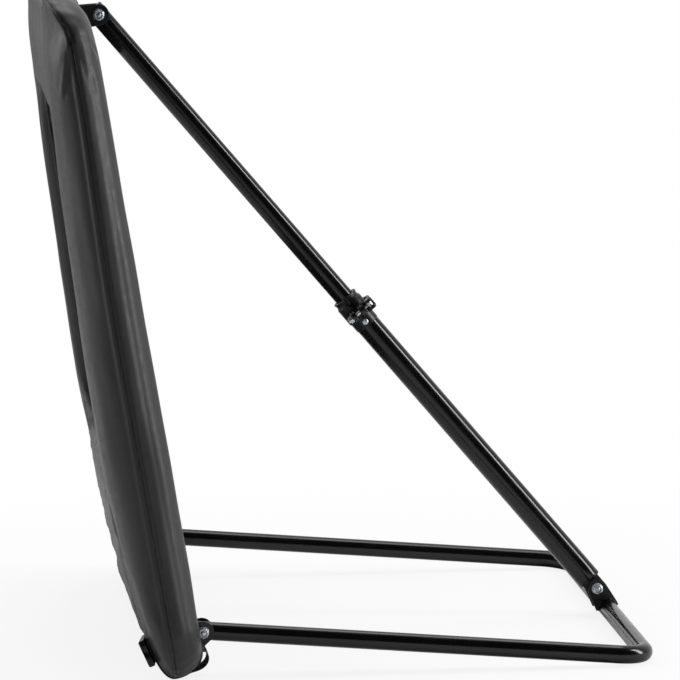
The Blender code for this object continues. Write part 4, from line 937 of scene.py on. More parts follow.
def free_cloth(t, y, s):
    """1 where the cloth is free, 0 under a strap and round a slot."""
    beside = step(np.abs(np.abs(y) - LEG_Y), STRAP_HALF + STRAP_HOLD, STRAP_FADE)
    free = np.maximum(beside, step(s, STRAP_TOP, STRAP_TOP_FADE))
    rear = step(t, MID_T + REAR_HOLD, REAR_FADE)
    for y0, half_width, low, high in SLOTS:
        away = np.maximum(np.abs(y - y0) - half_width, np.maximum(low - s, s - high))
        free = free * (1 - rear * (1 - step(away, SLOT_HOLD, SLOT_FADE)))
    return free


free_share = (free_cloth(*np.moveaxis(front_rest, 2, 0)) > 0.5).mean()
print("free share of the front:", round(float(free_share), 2))

# %% Blow up the covers
SWELL_CAP = 3.4 * MM
COARSE_ROWS, COARSE_COLUMNS = 2, 3
CLOTH_FRAMES = 20
CLOTH = {"quality": 5, "mass": 0.35, "tension_stiffness": 12, "compression_stiffness": 12,
         "shear_stiffness": 8, "bending_stiffness": 0.6, "vertex_group_mass": "held",
         "use_pressure": True, "uniform_pressure_force": 4}


def pressed(ring, held):
    """Movement of a closed ring of rows, held where said, under a gentle pressure from inside."""
    points, faces, corners = grid_shape(ring, loop_rows=True)
    if volume(points - points.mean(0), faces) < 0:
        faces = [f[:, ::-1] for f in faces]
    mesh = bpy.data.meshes.new("pressed_cloth")
    mesh.from_pydata(points.tolist(), [], faces[0].tolist())
    cloth = bpy.data.objects.new("pressed_cloth", mesh)
    bpy.context.scene.collection.objects.link(cloth)
    group = cloth.vertex_groups.new(name="held")
    group.add(np.nonzero(held.ravel())[0].tolist(), 1.0, "REPLACE")
    modifier = cloth.modifiers.new("cloth", "CLOTH")
    for key, value in CLOTH.items():
        setattr(modifier.settings, key, value)
    modifier.settings.effector_weights.gravity = 0
    modifier.collision_settings.use_collision = False
    modifier.point_cache.frame_end = CLOTH_FRAMES
    for number in range(1, CLOTH_FRAMES + 1):
        bpy.context.scene.frame_set(number)
    result = cloth.evaluated_get(bpy.context.evaluated_depsgraph_get()).data
    moved = np.empty(len(points) * 3, np.float32)
    result.vertices.foreach_get("co", moved)
    bpy.context.scene.frame_set(1)
    bpy.data.objects.remove(cloth)
    return moved.reshape(ring.shape) - ring


def spread(values, rows, row_count):
    """Values on picked rows and columns, read off for all rows and columns between them."""
    at = np.interp(np.arange(row_count), rows, np.arange(len(rows)))
    below = np.minimum(at.astype(int), len(rows) - 2)
    part = (at - below)[:, None, None]
    values = values[below] * (1 - part) + values[below + 1] * part
    at = np.arange(LOOP) / COARSE_COLUMNS
    below = at.astype(int) % values.shape[1]
    part = (at - at.astype(int))[None, :, None]
    return values[:, below] * (1 - part) + values[:, (below + 1) % values.shape[1]] * part


def blown_up(front, rear):
    """Movement of every point of both grids, in panel axes, capped by a hyperbolic tangent."""
    grids = (front, rear)
    row_picks = [np.unique(np.append(np.arange(0, len(g), COARSE_ROWS), len(g) - 1))
                 for g in grids]
    column_picks = np.arange(0, LOOP, COARSE_COLUMNS)
    coarse = [g[rows][:, column_picks] for g, rows in zip(grids, row_picks)]
    ring = np.concatenate([coarse[0], coarse[1][-2:0:-1]])
    inner = len(coarse[0]) - 1
    held = free_cloth(*np.moveaxis(ring, 2, 0)) < 0.5
    held[[0, inner]] = True
    shift = pressed(ring, held)
    length = np.linalg.norm(shift, axis=2, keepdims=True)
    print("cloth moved up to", round(float(length.max()) / MM, 1), "mm, mean",
          round(float(length.mean()) / MM, 1), "mm")
    shift *= SWELL_CAP * np.tanh(length / SWELL_CAP) / np.maximum(length, 1e-9)
    halves = shift[:inner + 1], np.concatenate([shift[:1], shift[:inner - 1:-1]])
    return [spread(half, rows, len(g)) for half, rows, g in zip(halves, row_picks, grids)]


swelling = blown_up(front_rest, rear_rest)

# %% [markdown]
# Folds come after that. They are long and soft because the coat is stiff, and they are sums of
# sine waves, so that the script gives the same cloth every time. Short puckers run off the seam,
# deeper at the corners, where the cover has to be gathered.

# %% Waves, corner crease and slack folds
wave_seed = np.random.default_rng(12)
WAVES = 14
CREASE_S = np.array([745, 754, 766, 777, 783, 798, 812]) * MM
CREASE_DOWN = np.array([34, 29, 22, 15, 11, 4, 0]) * MM
SLACK_HALF, SLACK_SIDE = 378 * MM, 40 * MM
SLACK_TOP, SLACK_FADE = 195 * MM, 30 * MM
SLACK_DEPTH = 1.7 * MM
BROAD_FOLD, NARROW_FOLD = 78 * MM, 37 * MM


def soft_noise(points, size):
    """Sum of sine waves in space with wave lengths near size, about -1 to 1."""
    directions = wave_seed.normal(size=(WAVES, 3))
    directions /= np.linalg.norm(directions, axis=1, keepdims=True)
    waves = directions * (2 * math.pi / (size * wave_seed.uniform(0.7, 1.6, (WAVES, 1))))
    phase = wave_seed.uniform(0, 2 * math.pi, WAVES)
    return np.sin(points @ waves.T + phase).sum(-1) / math.sqrt(WAVES)


def corner_crease(down, s):
    """A sharp crease that leaves the seam below each top corner and runs forward and down: a
    valley with a lip on its front side and a hollow behind it."""
    line = np.interp(s, CREASE_S, CREASE_DOWN)
    reach = step(s, 742 * MM, 12 * MM) * step(818 * MM - s, 0, 8 * MM)
    valley = -2.0 * MM * bell(down, line, 2.6 * MM)
    lip = 1.3 * MM * bell(down, line + 8 * MM, 6 * MM)
    hollow = -1.2 * MM * bell(down, line - 9 * MM, 7 * MM)
    return (valley + lip + hollow) * reach


def slack_folds(y, s):
    """Wandering folds of slack cloth over the bottom border."""
    area = step(SLACK_HALF - np.abs(y), 0, SLACK_SIDE) * step(SLACK_TOP - s, 0, SLACK_FADE) \
        * step(s, PANEL_LOW + 20 * MM, 40 * MM)
    wander = s + 24 * MM * np.sin(y / 0.083) + 13 * MM * np.sin(y / 0.037 + 1.7)
    broad = np.sin(wander / BROAD_FOLD * 2 * math.pi)
    narrow = 0.5 * np.sin(wander / NARROW_FOLD * 2 * math.pi + y / 0.05)
    return SLACK_DEPTH * (broad + narrow) * area


print("waves in each sum:", WAVES)

# %% Folds, puckers and pinched seams
SHRINK = 3.5 * MM
REAR_SHRINK = 0.3
BILLOW, BILLOW_SIZE = 0.5 * MM, 160 * MM
LONG_FOLD, LONG_FOLD_SIZE = 0.4 * MM, 35 * MM
GATHER, GATHER_STEP, GATHER_DRIFT = 0.5 * MM, 11 * MM, 37 * MM
PUCKER, PUCKER_STEP = 0.16 * MM, 9 * MM
CORNER_INSET, CORNER_SPREAD = 30 * MM, 60 * MM
PIPE_DEPTH, PIPE_DOWN, PIPE_WIDTH = 0.9 * MM, 24 * MM, 4 * MM
OUTER_PINCH, OUTER_PINCH_WIDTH = 1.3 * MM, 2.6 * MM
WINDOW_PINCH, WINDOW_PINCH_WIDTH = 0.7 * MM, 4 * MM


def dressed(rest, swell, outward):
    """The cover's surface: rest shape, swelling, folds, puckers and pinched seams."""
    down, along = arc_lengths(rest)
    t, y, s = np.moveaxis(rest, 2, 0)
    free = free_cloth(t, y, s)
    edge = step(down, 0, 12 * MM) * step(down[-1] - down, 0, 8 * MM)
    normal = grid_normals(rest, outward)
    height = -(REAR_SHRINK * SHRINK if outward is REAR_OUT else SHRINK) * edge * free
    height += BILLOW * soft_noise(rest, BILLOW_SIZE) * free * step(down, 0, 30 * MM)
    stretched_rest = rest * np.array([1.0, 1.0, 0.2])
    height += LONG_FOLD * soft_noise(stretched_rest, LONG_FOLD_SIZE) * free * edge
    from_ends = np.minimum(np.abs(s - PANEL_TOP + CORNER_INSET),
                           np.abs(s - PANEL_LOW - CORNER_INSET))
    corner = bell(np.abs(y), PANEL_WIDTH / 2 - CORNER_INSET, CORNER_SPREAD) \
        * bell(from_ends, 0, CORNER_SPREAD)
    gather = np.sin(along / GATHER_STEP * 2 * math.pi + 2 * np.sin(along / GATHER_DRIFT))
    height += GATHER * gather * corner * np.exp(-down / (34 * MM)) * free
    pucker = np.sin(along / PUCKER_STEP * 2 * math.pi)
    height += PUCKER * pucker * np.exp(-down / (8 * MM)) * free
    if outward is FRONT_OUT:
        height += corner_crease(down, s) + slack_folds(y, s)
    else:
        height -= PIPE_DEPTH * bell(down, PIPE_DOWN, PIPE_WIDTH) * step(np.abs(y), 0.47, 0.01)
    height -= OUTER_PINCH * bell(down, 0, OUTER_PINCH_WIDTH)
    height -= WINDOW_PINCH * bell(down, down[-1], WINDOW_PINCH_WIDTH)
    return rest + swell * (free * edge)[..., None] + normal * height[..., None]


front_grid = dressed(front_rest, swelling[0], FRONT_OUT)
rear_grid = dressed(rear_rest, swelling[1], REAR_OUT)
print("front cover moved by up to",
      round(float(np.abs(front_grid - front_rest).max()) / MM, 1), "mm")

# %% Cover pieces
COVER_SKIN = 1.2 * MM
SLOT_MARGIN = 2 * MM


def cover_piece(name, grid, outward, node, slots=()):
    """A cover from its grid; cells inside a slot are left out, and the skin goes inwards."""
    points, faces, corners = grid_shape(on_panel(*np.moveaxis(grid, 2, 0)))
    t, y, s = grid.reshape(-1, 3)[faces[0]].mean(1).T
    keep = np.ones(len(t), bool)
    for y0, half_width, low, high in slots:
        inside = (np.abs(y - y0) < half_width + SLOT_MARGIN) & (s > low - SLOT_MARGIN)
        keep &= ~(inside & (s < high + SLOT_MARGIN) & (t > MID_T + 3 * MM))
    faces, corners = [faces[0][keep]], [corners[0][keep]]
    a, b, c = (points[faces[0][:, k]] for k in (0, 1, 2))
    facing = (np.cross(b - a, c - a) @ (outward[0] * PANEL_REAR)).mean() > 0
    piece = make_piece(name, (points, faces, corners), "panel", COVER_CLOTH, (node,),
                       sharp=None, outward=facing)
    skin = piece.modifiers.new("skin", "SOLIDIFY")
    skin.thickness = COVER_SKIN
    skin.offset = -1
    return piece


cover_piece("front_cover_cloth", front_grid, FRONT_OUT, "front_cover")
cover_piece("rear_cover_cloth", rear_grid, REAR_OUT, "rear_cover", SLOTS)

# %% [markdown]
# The foam under the covers is cut from sheets of closed cell polyethylene in four pieces. It
# takes the same settled shape, and it is drawn in a little so that the covers hide it. Where
# they roll into the window it isn't drawn in, and a few spots of it come through the cloth.

# %% Foam and frame
FOAM_EASE = 8 * MM
FOAM_SHARE, CORNER_SHARE = 0.8, 0.4


def foam_points(points):
    """Settled foam, drawn in from the cover: a fifth thinner, thinner still at the two top
    corners, and 8 mm smaller at its outline."""
    t, y, s = panel_values(points)
    corner = step(np.abs(y), 390 * MM, 40 * MM) * step(s, 730 * MM, 50 * MM)
    t = MID_T + (settled(t, y, s) - MID_T) * (FOAM_SHARE - CORNER_SHARE * corner)
    ends = step(s, 790 * MM, 50 * MM) - step(10 * MM - s, 0, 50 * MM)
    y = y - FOAM_EASE * np.sign(y) * step(np.abs(y), 430 * MM, 45 * MM)
    return on_panel(t, y, s - FOAM_EASE * ends)


for side in ("near", "far", "top", "bottom"):
    dressed_copy("foam_pad_" + side, FOAM, 0, foam_points)
for node in ("frame_upper_tube", "frame_lower_tube", "frame_spigot_near", "frame_spigot_far"):
    frame["nodes"][node].material_slots[0].material = GLOSS_BLACK

# %% [markdown]
# ## Stitches and bindings
# A stitch is a short capsule of thread that dips into the cloth at both ends. A bump could hint
# at it, but from close by only a real shape looks sewn. One function lays stitches along any
# line, and its array holds all stitches of a row at once. The slots in the rear cover are bound
# with tape, a half round bead that follows the surface.

# %% Stitches
STITCH_LENGTH = 3.0 * MM
STITCH_STEP = 4.2 * MM
STITCH_SIDES = 6
THREAD_RADIUS = 0.36 * MM
# Each ring of a stitch: its place along the stitch, its radius and its lift, in shares.
STITCH_RINGS = ((-0.5, 0.45, -0.5), (-0.3, 0.95, 0.3), (0.3, 0.95, 0.3), (0.5, 0.45, -0.5))


def line_steps(points):
    """Metres along a line of points."""
    return np.concatenate([[0], np.cumsum(np.linalg.norm(np.diff(points, axis=0), axis=1))])


def read_off(at, steps, points):
    """Points of a line at the distances asked for."""
    return np.stack([np.interp(at, steps, column) for column in points.T], 1)


def stitch_row(lines, body, name, closed=True):
    """lines: pairs of (points, normals). Each is walked in equal steps, one capsule a step."""
    turn = full_turn(STITCH_SIDES)[:, None]
    shapes = []
    for points, normals in lines:
        if closed:
            points, normals = [np.concatenate([a, a[:1]]) for a in (points, normals)]
        steps = line_steps(points)
        count = max(int(steps[-1] / STITCH_STEP), 1)
        at = (np.arange(count) + 0.5) * steps[-1] / count
        out = read_off(at, steps, normals)
        out /= np.linalg.norm(out, axis=1, keepdims=True)
        middles = [read_off(at + share * STITCH_LENGTH, steps, points)
                   for share, radius, lift in STITCH_RINGS]
        along = middles[-1] - middles[0]
        along /= np.linalg.norm(along, axis=1, keepdims=True)
        side = np.cross(along, out)
        ring = np.cos(turn) * side[:, None] + np.sin(turn) * out[:, None]
        grid = np.stack([middle[:, None] + out[:, None] * lift * THREAD_RADIUS
                         + ring * radius * THREAD_RADIUS
                         for middle, (share, radius, lift) in zip(middles, STITCH_RINGS)], 1)
        one, faces, corners = grid_shape(grid[0], caps=(True, True))
        centres = grid[:, [0, -1]].mean(2)
        all_points = np.concatenate([grid.reshape(count, -1, 3), centres], 1)
        shift = (np.arange(count) * len(one))[:, None, None]
        shapes.append((all_points.reshape(-1, 3),
                       [(f + shift).reshape(-1, f.shape[1]) for f in faces],
                       [np.tile(uv, (count, 1, 1)) for uv in corners]))
    return make_piece(name, join_shapes(shapes), body, THREAD_FINISH, sharp=None,
                      outward=volume(one, faces) > 0)


def line_on(grid, outward, distance, from_end=False):
    """Points and normals on a cover at a distance down from its seam or up from its last row."""
    down = arc_lengths(grid)[0]
    target = down[-1] - distance if from_end else np.full(LOOP, distance)
    row = np.clip((down < target).sum(0) - 1, 0, len(grid) - 2)
    column = np.arange(LOOP)
    part = (target - down[row, column]) / (down[row + 1, column] - down[row, column])
    normal = grid_normals(grid, outward)[row, column]
    point = grid[row, column] * (1 - part)[:, None] + grid[row + 1, column] * part[:, None]
    return on_panel(*point.T), normal @ np.stack(PANEL_WAYS)


SEAM_STITCH_INSET = 6 * MM
WINDOW_STITCH_INSET = 24 * MM
stitch_row([line_on(front_grid, FRONT_OUT, SEAM_STITCH_INSET),
            line_on(rear_grid, REAR_OUT, SEAM_STITCH_INSET)], "panel", "seam_stitches")
stitch_row([line_on(front_grid, FRONT_OUT, WINDOW_STITCH_INSET, from_end=True)], "panel",
           "window_stitches")

# %% Bindings of the bracket slots
BINDING_WIDTH = 8 * MM
BINDING_RISE = 1.1 * MM
BINDING_CORNER = 5 * MM
BINDING_POINTS = 112
# Each row of the bead: its place across the tape and its rise, in shares.
BINDING_ROWS = ((0, -3.0), (0.0, -0.6), (0.08, 0.5), (0.25, 0.9), (0.5, 1.0), (0.8, 0.8),
                (0.95, 0.35), (1.0, -0.4))


def rear_depth(s):
    """t of the rear cover at height s, away from its sides."""
    from_edge = np.minimum((s - PANEL_LOW) / REAR_ROLL, (PANEL_TOP - s) / REAR_TOP_ROLL)
    seam = seam_depth(s)
    return seam + np.sqrt(1 - (1 - np.clip(from_edge, 0, 1)) ** 2) * (REAR_T - seam)


def rectangle_loop(y0, half_width, low, high, outset):
    """(y, s) round a rectangle with rounded corners, moved outwards by outset."""
    radius = BINDING_CORNER + outset
    turn = np.linspace(0, math.pi / 2, 7)
    loop = []
    for k, (a, b) in enumerate(((1, -1), (1, 1), (-1, 1), (-1, -1))):
        y = y0 + a * (half_width - BINDING_CORNER)
        s = (high if b > 0 else low) - b * BINDING_CORNER
        angle = turn + (k - 1) * math.pi / 2
        loop.append(np.stack([y + radius * np.cos(angle), s + radius * np.sin(angle)], 1))
    loop = np.concatenate(loop + [loop[0][:1]])
    steps = line_steps(loop)
    return read_off(np.arange(BINDING_POINTS) / BINDING_POINTS * steps[-1], steps, loop)


def binding(slot_box):
    """A bead that rises from the cloth beside a slot and turns down into it."""
    rows = []
    for share, rise in BINDING_ROWS:
        y, s = rectangle_loop(*slot_box, share * BINDING_WIDTH).T
        slope = (rear_depth(s + MM) - rear_depth(s - MM)) / (2 * MM)
        level = rise * BINDING_RISE / np.sqrt(1 + slope ** 2)
        rows.append(on_panel(rear_depth(s) + level, y, s - level * slope))
    return grid_shape(np.stack(rows), loop_rows=True)


make_piece("slot_bindings", join_shapes([binding(one) for one in SLOTS]), "panel", BINDING,
           sharp=None)

# %% [markdown]
# ## The net
# The net hangs 12 mm behind the front crest on a tape sewn round the window. Cords 2.4 mm thick
# cross every 48 by 50 mm. Each one passes over and under the others, and a knot ties every
# crossing. A flat picture of a net would show no thickness, so every cord is a thin tube.

# %% Net cords and knots
TAPE_T = FRONT_T + 12 * MM
NET_CORD = 2.4 * MM
NET_T = TAPE_T + 2.3 * MM + NET_CORD / 2
NET_COLUMNS, NET_ROWS = 17, 11
NET_SETTLE = 5 * MM
CORD_STEP, CORD_SIDES, CORD_SHARE = 6 * MM, 8, 0.94
CORD_WAVE, CORD_STRAY, STRAY_LENGTH = 0.75 * MM, 0.9 * MM, 71 * MM
KNOT_RADIUS, KNOT_POINTS, KNOT_FLATNESS, KNOT_BULGE = 2.3 * MM, 10, 0.72, 0.14
column_at = np.linspace(-384.7, 384.7, NET_COLUMNS) * MM
row_at = np.linspace(207.3, 711.7, NET_ROWS) * MM
half_window = np.array([WINDOW_WIDTH, WINDOW_HIGH - WINDOW_LOW]) / 2
column_pitch, row_pitch = np.diff(column_at)[0], np.diff(row_at)[0]


def reach(value, half_size):
    """Half length of a cord at this offset inside a rectangle with round corners."""
    past = np.clip(np.abs(value) - (half_size[0] - WINDOW_CORNER), 0, WINDOW_CORNER)
    return half_size[1] - WINDOW_CORNER + np.sqrt(WINDOW_CORNER ** 2 - past ** 2)


def net_depth(depth, s):
    """The net keeps to the settled cover: 5 mm forward at the bottom, 5 mm back at the top."""
    return depth + np.interp(s, [WINDOW_LOW, WINDOW_HIGH], [-NET_SETTLE, NET_SETTLE])


def cord_shape(start, end, over, stray_way, pitch, first):
    """One cord: a thin tube that waves over and under the crossings, with closed ends."""
    length = np.linalg.norm(end - start)
    part = np.linspace(0, 1, int(length / CORD_STEP) + 2)
    along = part * length
    wave = over * CORD_WAVE * np.cos(math.pi * (along + first) / pitch)
    stray = CORD_STRAY * np.sin(along / STRAY_LENGTH + over * 2.1 + first * 40)
    path = start + (end - start) * part[:, None] + PANEL_REAR * wave[:, None] \
        + stray_way * stray[:, None]
    radii = np.full(len(part), NET_CORD / 2 * CORD_SHARE)
    return grid_shape(swept_rows(path, path_directions(path), radii, PANEL_REAR, CORD_SIDES),
                      caps=(True, True))


def knot_shape(y, s):
    """A flattened ball with three bulges, like an overhand knot."""
    rise = (np.linspace(-1, 1, 7)[1:-1] * math.pi / 2)[:, None]
    turn = full_turn(KNOT_POINTS)
    bulge = 1 + KNOT_BULGE * np.cos(3 * turn[None] + 2 * rise)
    flat = KNOT_RADIUS * np.cos(rise) * bulge
    lift = KNOT_FLATNESS * KNOT_RADIUS * np.sin(rise) * np.ones(KNOT_POINTS)
    return grid_shape(on_panel(net_depth(NET_T, s) + lift, y + flat * np.cos(turn),
                               s + flat * np.sin(turn)), caps=(True, True))


cords = []
for index, y in enumerate(column_at):
    length = reach(y, half_window)
    ends = [on_panel(net_depth(NET_T, s), y, s)
            for s in (WINDOW_MIDDLE - length, WINDOW_MIDDLE + length)]
    cords.append(cord_shape(*ends, (-1) ** index, SIDEWAYS, row_pitch, half_window[1] - length))
for index, s in enumerate(row_at):
    length = reach(s - WINDOW_MIDDLE, half_window[::-1])
    ends = [on_panel(net_depth(NET_T, s), side * length, s) for side in (-1, 1)]
    cords.append(cord_shape(*ends, -(-1) ** index, PANEL_UP, column_pitch, half_window[0] - length))
knots = [knot_shape(y, s) for y in column_at[1:-1] for s in row_at[1:-1]]
make_piece("net_cords", join_shapes(cords + knots), "panel", NET_CORD_FINISH, ("net",),
           sharp=None)

# %% [markdown]
# The tape is 24 mm of woven webbing. Its section is a rounded rectangle carried round the
# window, and two rows of stitches hold the ends of the cords behind it.

# %% Net tape
TAPE_WIDTH = 24 * MM
TAPE_THICKNESS = 2 * MM
TAPE_OUTSET = 11 * MM
TAPE_EDGE = 0.9 * MM
TAPE_STITCH_INSETS = (20 * MM, 9 * MM)


def tape_section(width, thickness):
    """(across, up) round a flat section with rounded edges."""
    turn = np.linspace(0, math.pi, 7)
    right = np.stack([width / 2 - TAPE_EDGE + TAPE_EDGE * np.sin(turn),
                      -TAPE_EDGE * np.cos(turn)], 1)
    return np.concatenate([right, -right]) * np.array([1, thickness / 2 / TAPE_EDGE])


def tape_loop(outset, lift):
    """A loop on the tape, which ripples a little where it is sewn."""
    y, s = window_loop(outset).T
    number = np.arange(LOOP)
    ripple = 0.35 * MM * np.sin(number * 0.37) * np.sin(number * 0.083)
    return on_panel(net_depth(TAPE_T + lift + ripple, s), y, s)


tape_rows = [tape_loop(TAPE_OUTSET - TAPE_WIDTH / 2 + across, lift)
             for across, lift in tape_section(TAPE_WIDTH, TAPE_THICKNESS)]
make_piece("net_tape", grid_shape(np.stack(tape_rows), loop_rows=True), "panel", WEBBING,
           ("net_border_tape",))
stitch_row([(tape_loop(TAPE_OUTSET - inset, -TAPE_THICKNESS / 2),
             np.repeat(-PANEL_REAR[None], LOOP, 0)) for inset in TAPE_STITCH_INSETS],
           "panel", "tape_stitches")

# %% [markdown]
# ## Straps and buckles
# Two webbing straps close the cover round the bottom border. Behind, each leaves some slack
# where the legs pass, and in front it runs through a side release buckle. The strap's line is
# the border's own section moved outwards, so that it lies on the cloth wherever it is tight.

# %% Line of a strap
STRAP_THICKNESS = 2 * MM
STRAP_START, STRAP_END = -84, 44
STRAP_TURNS = np.linspace(STRAP_START, STRAP_END, 129)
STRAP_GAP = 0.6 * MM
STRAP_SLACK, SLACK_TURN = 10 * MM, 58
BORDER_HEART = np.array([MID_T, 60 * MM])
BUCKLE_TURN, BUCKLE_LIFT = 34.0, 1.5 * MM


def bottom_point(turn, power=FULLNESS):
    """Point (t, s) on the section of the bottom border, -90 at the flat rear and 90 the crest."""
    angle = np.radians(np.abs(turn))
    rear = np.less(turn, 0)
    run = np.where(rear, REAR_ROLL, WINDOW_LOW - WINDOW_ROLL - PANEL_LOW)
    power = np.where(rear, 1.0, power)
    t = MID_T + np.where(rear, 1, -1) * PANEL_THICKNESS / 2 * np.sin(angle) ** power
    return np.stack([t, PANEL_LOW + run * (1 - np.cos(angle) ** power)], -1)


def outwards(path):
    """Directions square to a path in (t, s), away from the middle of the border."""
    along = np.gradient(path, axis=0)
    side = np.stack([along[:, 1], -along[:, 0]], 1) / np.linalg.norm(along, axis=1, keepdims=True)
    return side * np.sign((side * (path - BORDER_HEART)).sum(1, keepdims=True))


def strap_line(y):
    """The strap's inner line and its outward directions, in (t, s)."""
    path = bottom_point(STRAP_TURNS)
    path[:, 0] = settled(path[:, 0], y, path[:, 1])
    part = np.clip((STRAP_TURNS - STRAP_START) / SLACK_TURN, 0, 1)
    slack = STRAP_SLACK * np.sin(math.pi * part ** 0.75) ** 1.5
    path = path + outwards(path) * (STRAP_GAP + slack)[:, None]
    return path, outwards(path)


def buckle_points(points):
    """A buckle lies on the strap, so it moves out with the fuller cover."""
    old, new = [bottom_point(np.array([BUCKLE_TURN]), power)[0] for power in (1.0, FULLNESS)]
    slope = outwards(bottom_point(BUCKLE_TURN + np.array([-1.0, 0.0, 1.0])))[1]
    out = slope * ((new - old) @ slope + BUCKLE_LIFT)
    return settle_points(points) + out[0] * PANEL_REAR + out[1] * PANEL_UP


print("strap from", STRAP_START, "to", STRAP_END, "degrees round the border")

# %% Straps
STRAP_STITCH_INSETS = (2.5 * MM, 35.5 * MM)
STRAP_STITCH_SPANS = (slice(0, 8), slice(112, 128))
STITCH_SEAT = 1.02

for side_name, y0 in (("near", -LEG_Y), ("far", LEG_Y)):
    line, side = strap_line(y0)
    width, lift = tape_section(2 * STRAP_HALF, STRAP_THICKNESS).T
    t, s = np.moveaxis(line[:, None] + side[:, None] * (lift + STRAP_THICKNESS / 2)[:, None], 2, 0)
    strap = make_piece("strap_" + side_name + "_webbing",
                       grid_shape(on_panel(t, y0 + width, s), caps=(True, True)), "panel",
                       WEBBING, ("strap_" + side_name,))
    top_t, top_s = (line + side * STRAP_THICKNESS * STITCH_SEAT).T
    normals = side @ np.stack([PANEL_REAR, PANEL_UP])
    lines = [(on_panel(top_t[span], y0 - STRAP_HALF + inset, top_s[span]), normals[span])
             for inset in STRAP_STITCH_INSETS for span in STRAP_STITCH_SPANS]
    stitch_row(lines, "panel", "strap_" + side_name + "_stitches", closed=False)
    dressed_copy("buckle_" + side_name, NYLON, 0.5 * MM, buckle_points)

# %% [markdown]
# ## Tubes
# The base is one tube of 25 mm bent twice. The strut is a tube of 28 mm that slides in one of
# 35 mm. The solids are made of few flats, and a long highlight would show them, so the tubes are
# swept anew with smooth rings and small rounded rims.

# %% Base tube
BASE_RADIUS = 12.5 * MM
TUBE_WALL = 1.5 * MM
LEG_LENGTH = 608 * MM
LEG_END = 12 * MM
BEND_RADIUS = 42 * MM
STRAIGHT_POINTS = 40
MOUTH_DEPTH = 14 * MM
LEG_SLOPE = math.asin((PIVOT_HEIGHT - BASE_RADIUS) / LEG_LENGTH)
BASE_REAR = np.array([math.cos(LEG_SLOPE), 0.0, -math.sin(LEG_SLOPE)])
BASE_UP = np.array([math.sin(LEG_SLOPE), 0.0, math.cos(LEG_SLOPE)])


def on_base(x, y, z):
    """Points in space from x down the legs, y sideways and z above them."""
    return spot(LEG_PIVOT, (BASE_REAR, SIDEWAYS, BASE_UP), x, y, z)


straight = np.linspace(-LEG_END, LEG_LENGTH - BEND_RADIUS, STRAIGHT_POINTS)
bend = np.linspace(0, math.pi / 2, 25)[1:-1]
bend_x = LEG_LENGTH - BEND_RADIUS + BEND_RADIUS * np.sin(bend)
bend_y = -LEG_Y + BEND_RADIUS - BEND_RADIUS * np.cos(bend)
bar = np.linspace(-LEG_Y + BEND_RADIUS, LEG_Y - BEND_RADIUS, STRAIGHT_POINTS)
level = np.ones(STRAIGHT_POINTS)
path_x = np.concatenate([straight, bend_x, LEG_LENGTH * level, bend_x[::-1], straight[::-1]])
path_y = np.concatenate([-LEG_Y * level, bend_y, bar, -bend_y[::-1], LEG_Y * level])
make_piece("base_tube_form", hollow_tube(on_base(path_x, path_y, 0), BASE_RADIUS, TUBE_WALL,
                                         BASE_UP, depth=MOUTH_DEPTH),
           "base", GLOSS_BLACK, ("base_tube",))

# %% Strut tubes
foot_pivot = middle_of("foot_pivot_bolt") * np.array([1, 0, 1])
strut_length = np.linalg.norm(foot_pivot - TOP_PIVOT)
# Each tube: its name, radius, low end and high end on the strut.
STRUT_TUBES = (("upper", 14 * MM, -740 * MM, 10 * MM),
               ("lower", 17.5 * MM, -strut_length + 16 * MM, -545 * MM))
for name, radius, low, high in STRUT_TUBES:
    path = on_strut(0, 0, np.linspace(low, high, 30))
    make_piece("strut_" + name + "_form", hollow_tube(path, radius, TUBE_WALL, SIDEWAYS, sides=64),
               "strut_" + name, GLOSS_BLACK, ("strut_" + name + "_tube",))

# %% [markdown]
# ## Brackets and plugs
# The brackets are pressed and laser cut steel. Their solids are right already, so each is a
# merged copy whose edges are rounded by half a millimetre, as tumbling and powder leave them.
# Moulded and turned pieces get a radius of their own.

# %% Brackets, plugs and clamp
# Each group: its nodes, material, slot and edge radius.
RIGHT_ALREADY = (
    (("top_bracket", "leg_bracket_near", "leg_bracket_far", "foot_bracket_near",
      "foot_bracket_far", "strut_foot_fitting"), SATIN_BLACK, "satin_black_steel", 0.5 * MM),
    (("base_plug_near", "base_plug_far", "strut_top_plug", "strut_guide_bush", "clamp_liner"),
     NYLON, "black_nylon", 0.3 * MM),
    (("cam_lever", "clamp_thrust_washer"), NYLON, "black_nylon", 0.7 * MM),
    (("cam_pin", "clamp_bolt", "clamp_nut"), ZINC, "zinc_steel", 0.3 * MM))
for nodes, material, slot, edge in RIGHT_ALREADY:
    for node in nodes:
        dressed_copy(node, material, edge)

# %% [markdown]
# The collar is moulded round the mouth of the lower tube. A sleeve is fixed to that tube, and
# above it a split ring with two ears closes on the upper tube when the cam lever is turned.
# Sections are written as (height, radius) pairs and turned, the split one through less than a
# full circle.

# %% Clamp collar
CLAMP_Z = -560 * MM
CLAMP_BOLT_Y = -27.3 * MM
SPLIT_HALF, SPLIT_RADIUS = 3.4 * MM, 19 * MM
EAR_OUT, EAR_NOSE, EAR_EDGE = 10 * MM, 8.4 * MM, 0.9 * MM
EAR_ROOT_Y = -16 * MM
RIVET_Z = CLAMP_Z - 16.5 * MM
SLEEVE = np.array([(-24, 17.8), (-24, 18.1), (-23.7, 18.4), (-10.2, 18.5), (-10.2, 17.8)]) * MM
SPLIT_RING = np.array([(-10, 17.8), (-10, 19.3), (-9.5, 19.8), (16.3, 19.8), (17.2, 19.4),
                       (20, 17.9), (24.2, 17.8), (24.5, 18.8), (26.6, 18.9), (27, 18.5),
                       (27, 16.2), (15.4, 16.2), (15.4, 17.8)]) * MM
RIVET_HEAD = np.array([(18.2, 2.4), (18.5, 4.3), (19.2, 4.3), (19.9, 3.4), (20.2, 1.2)]) * MM


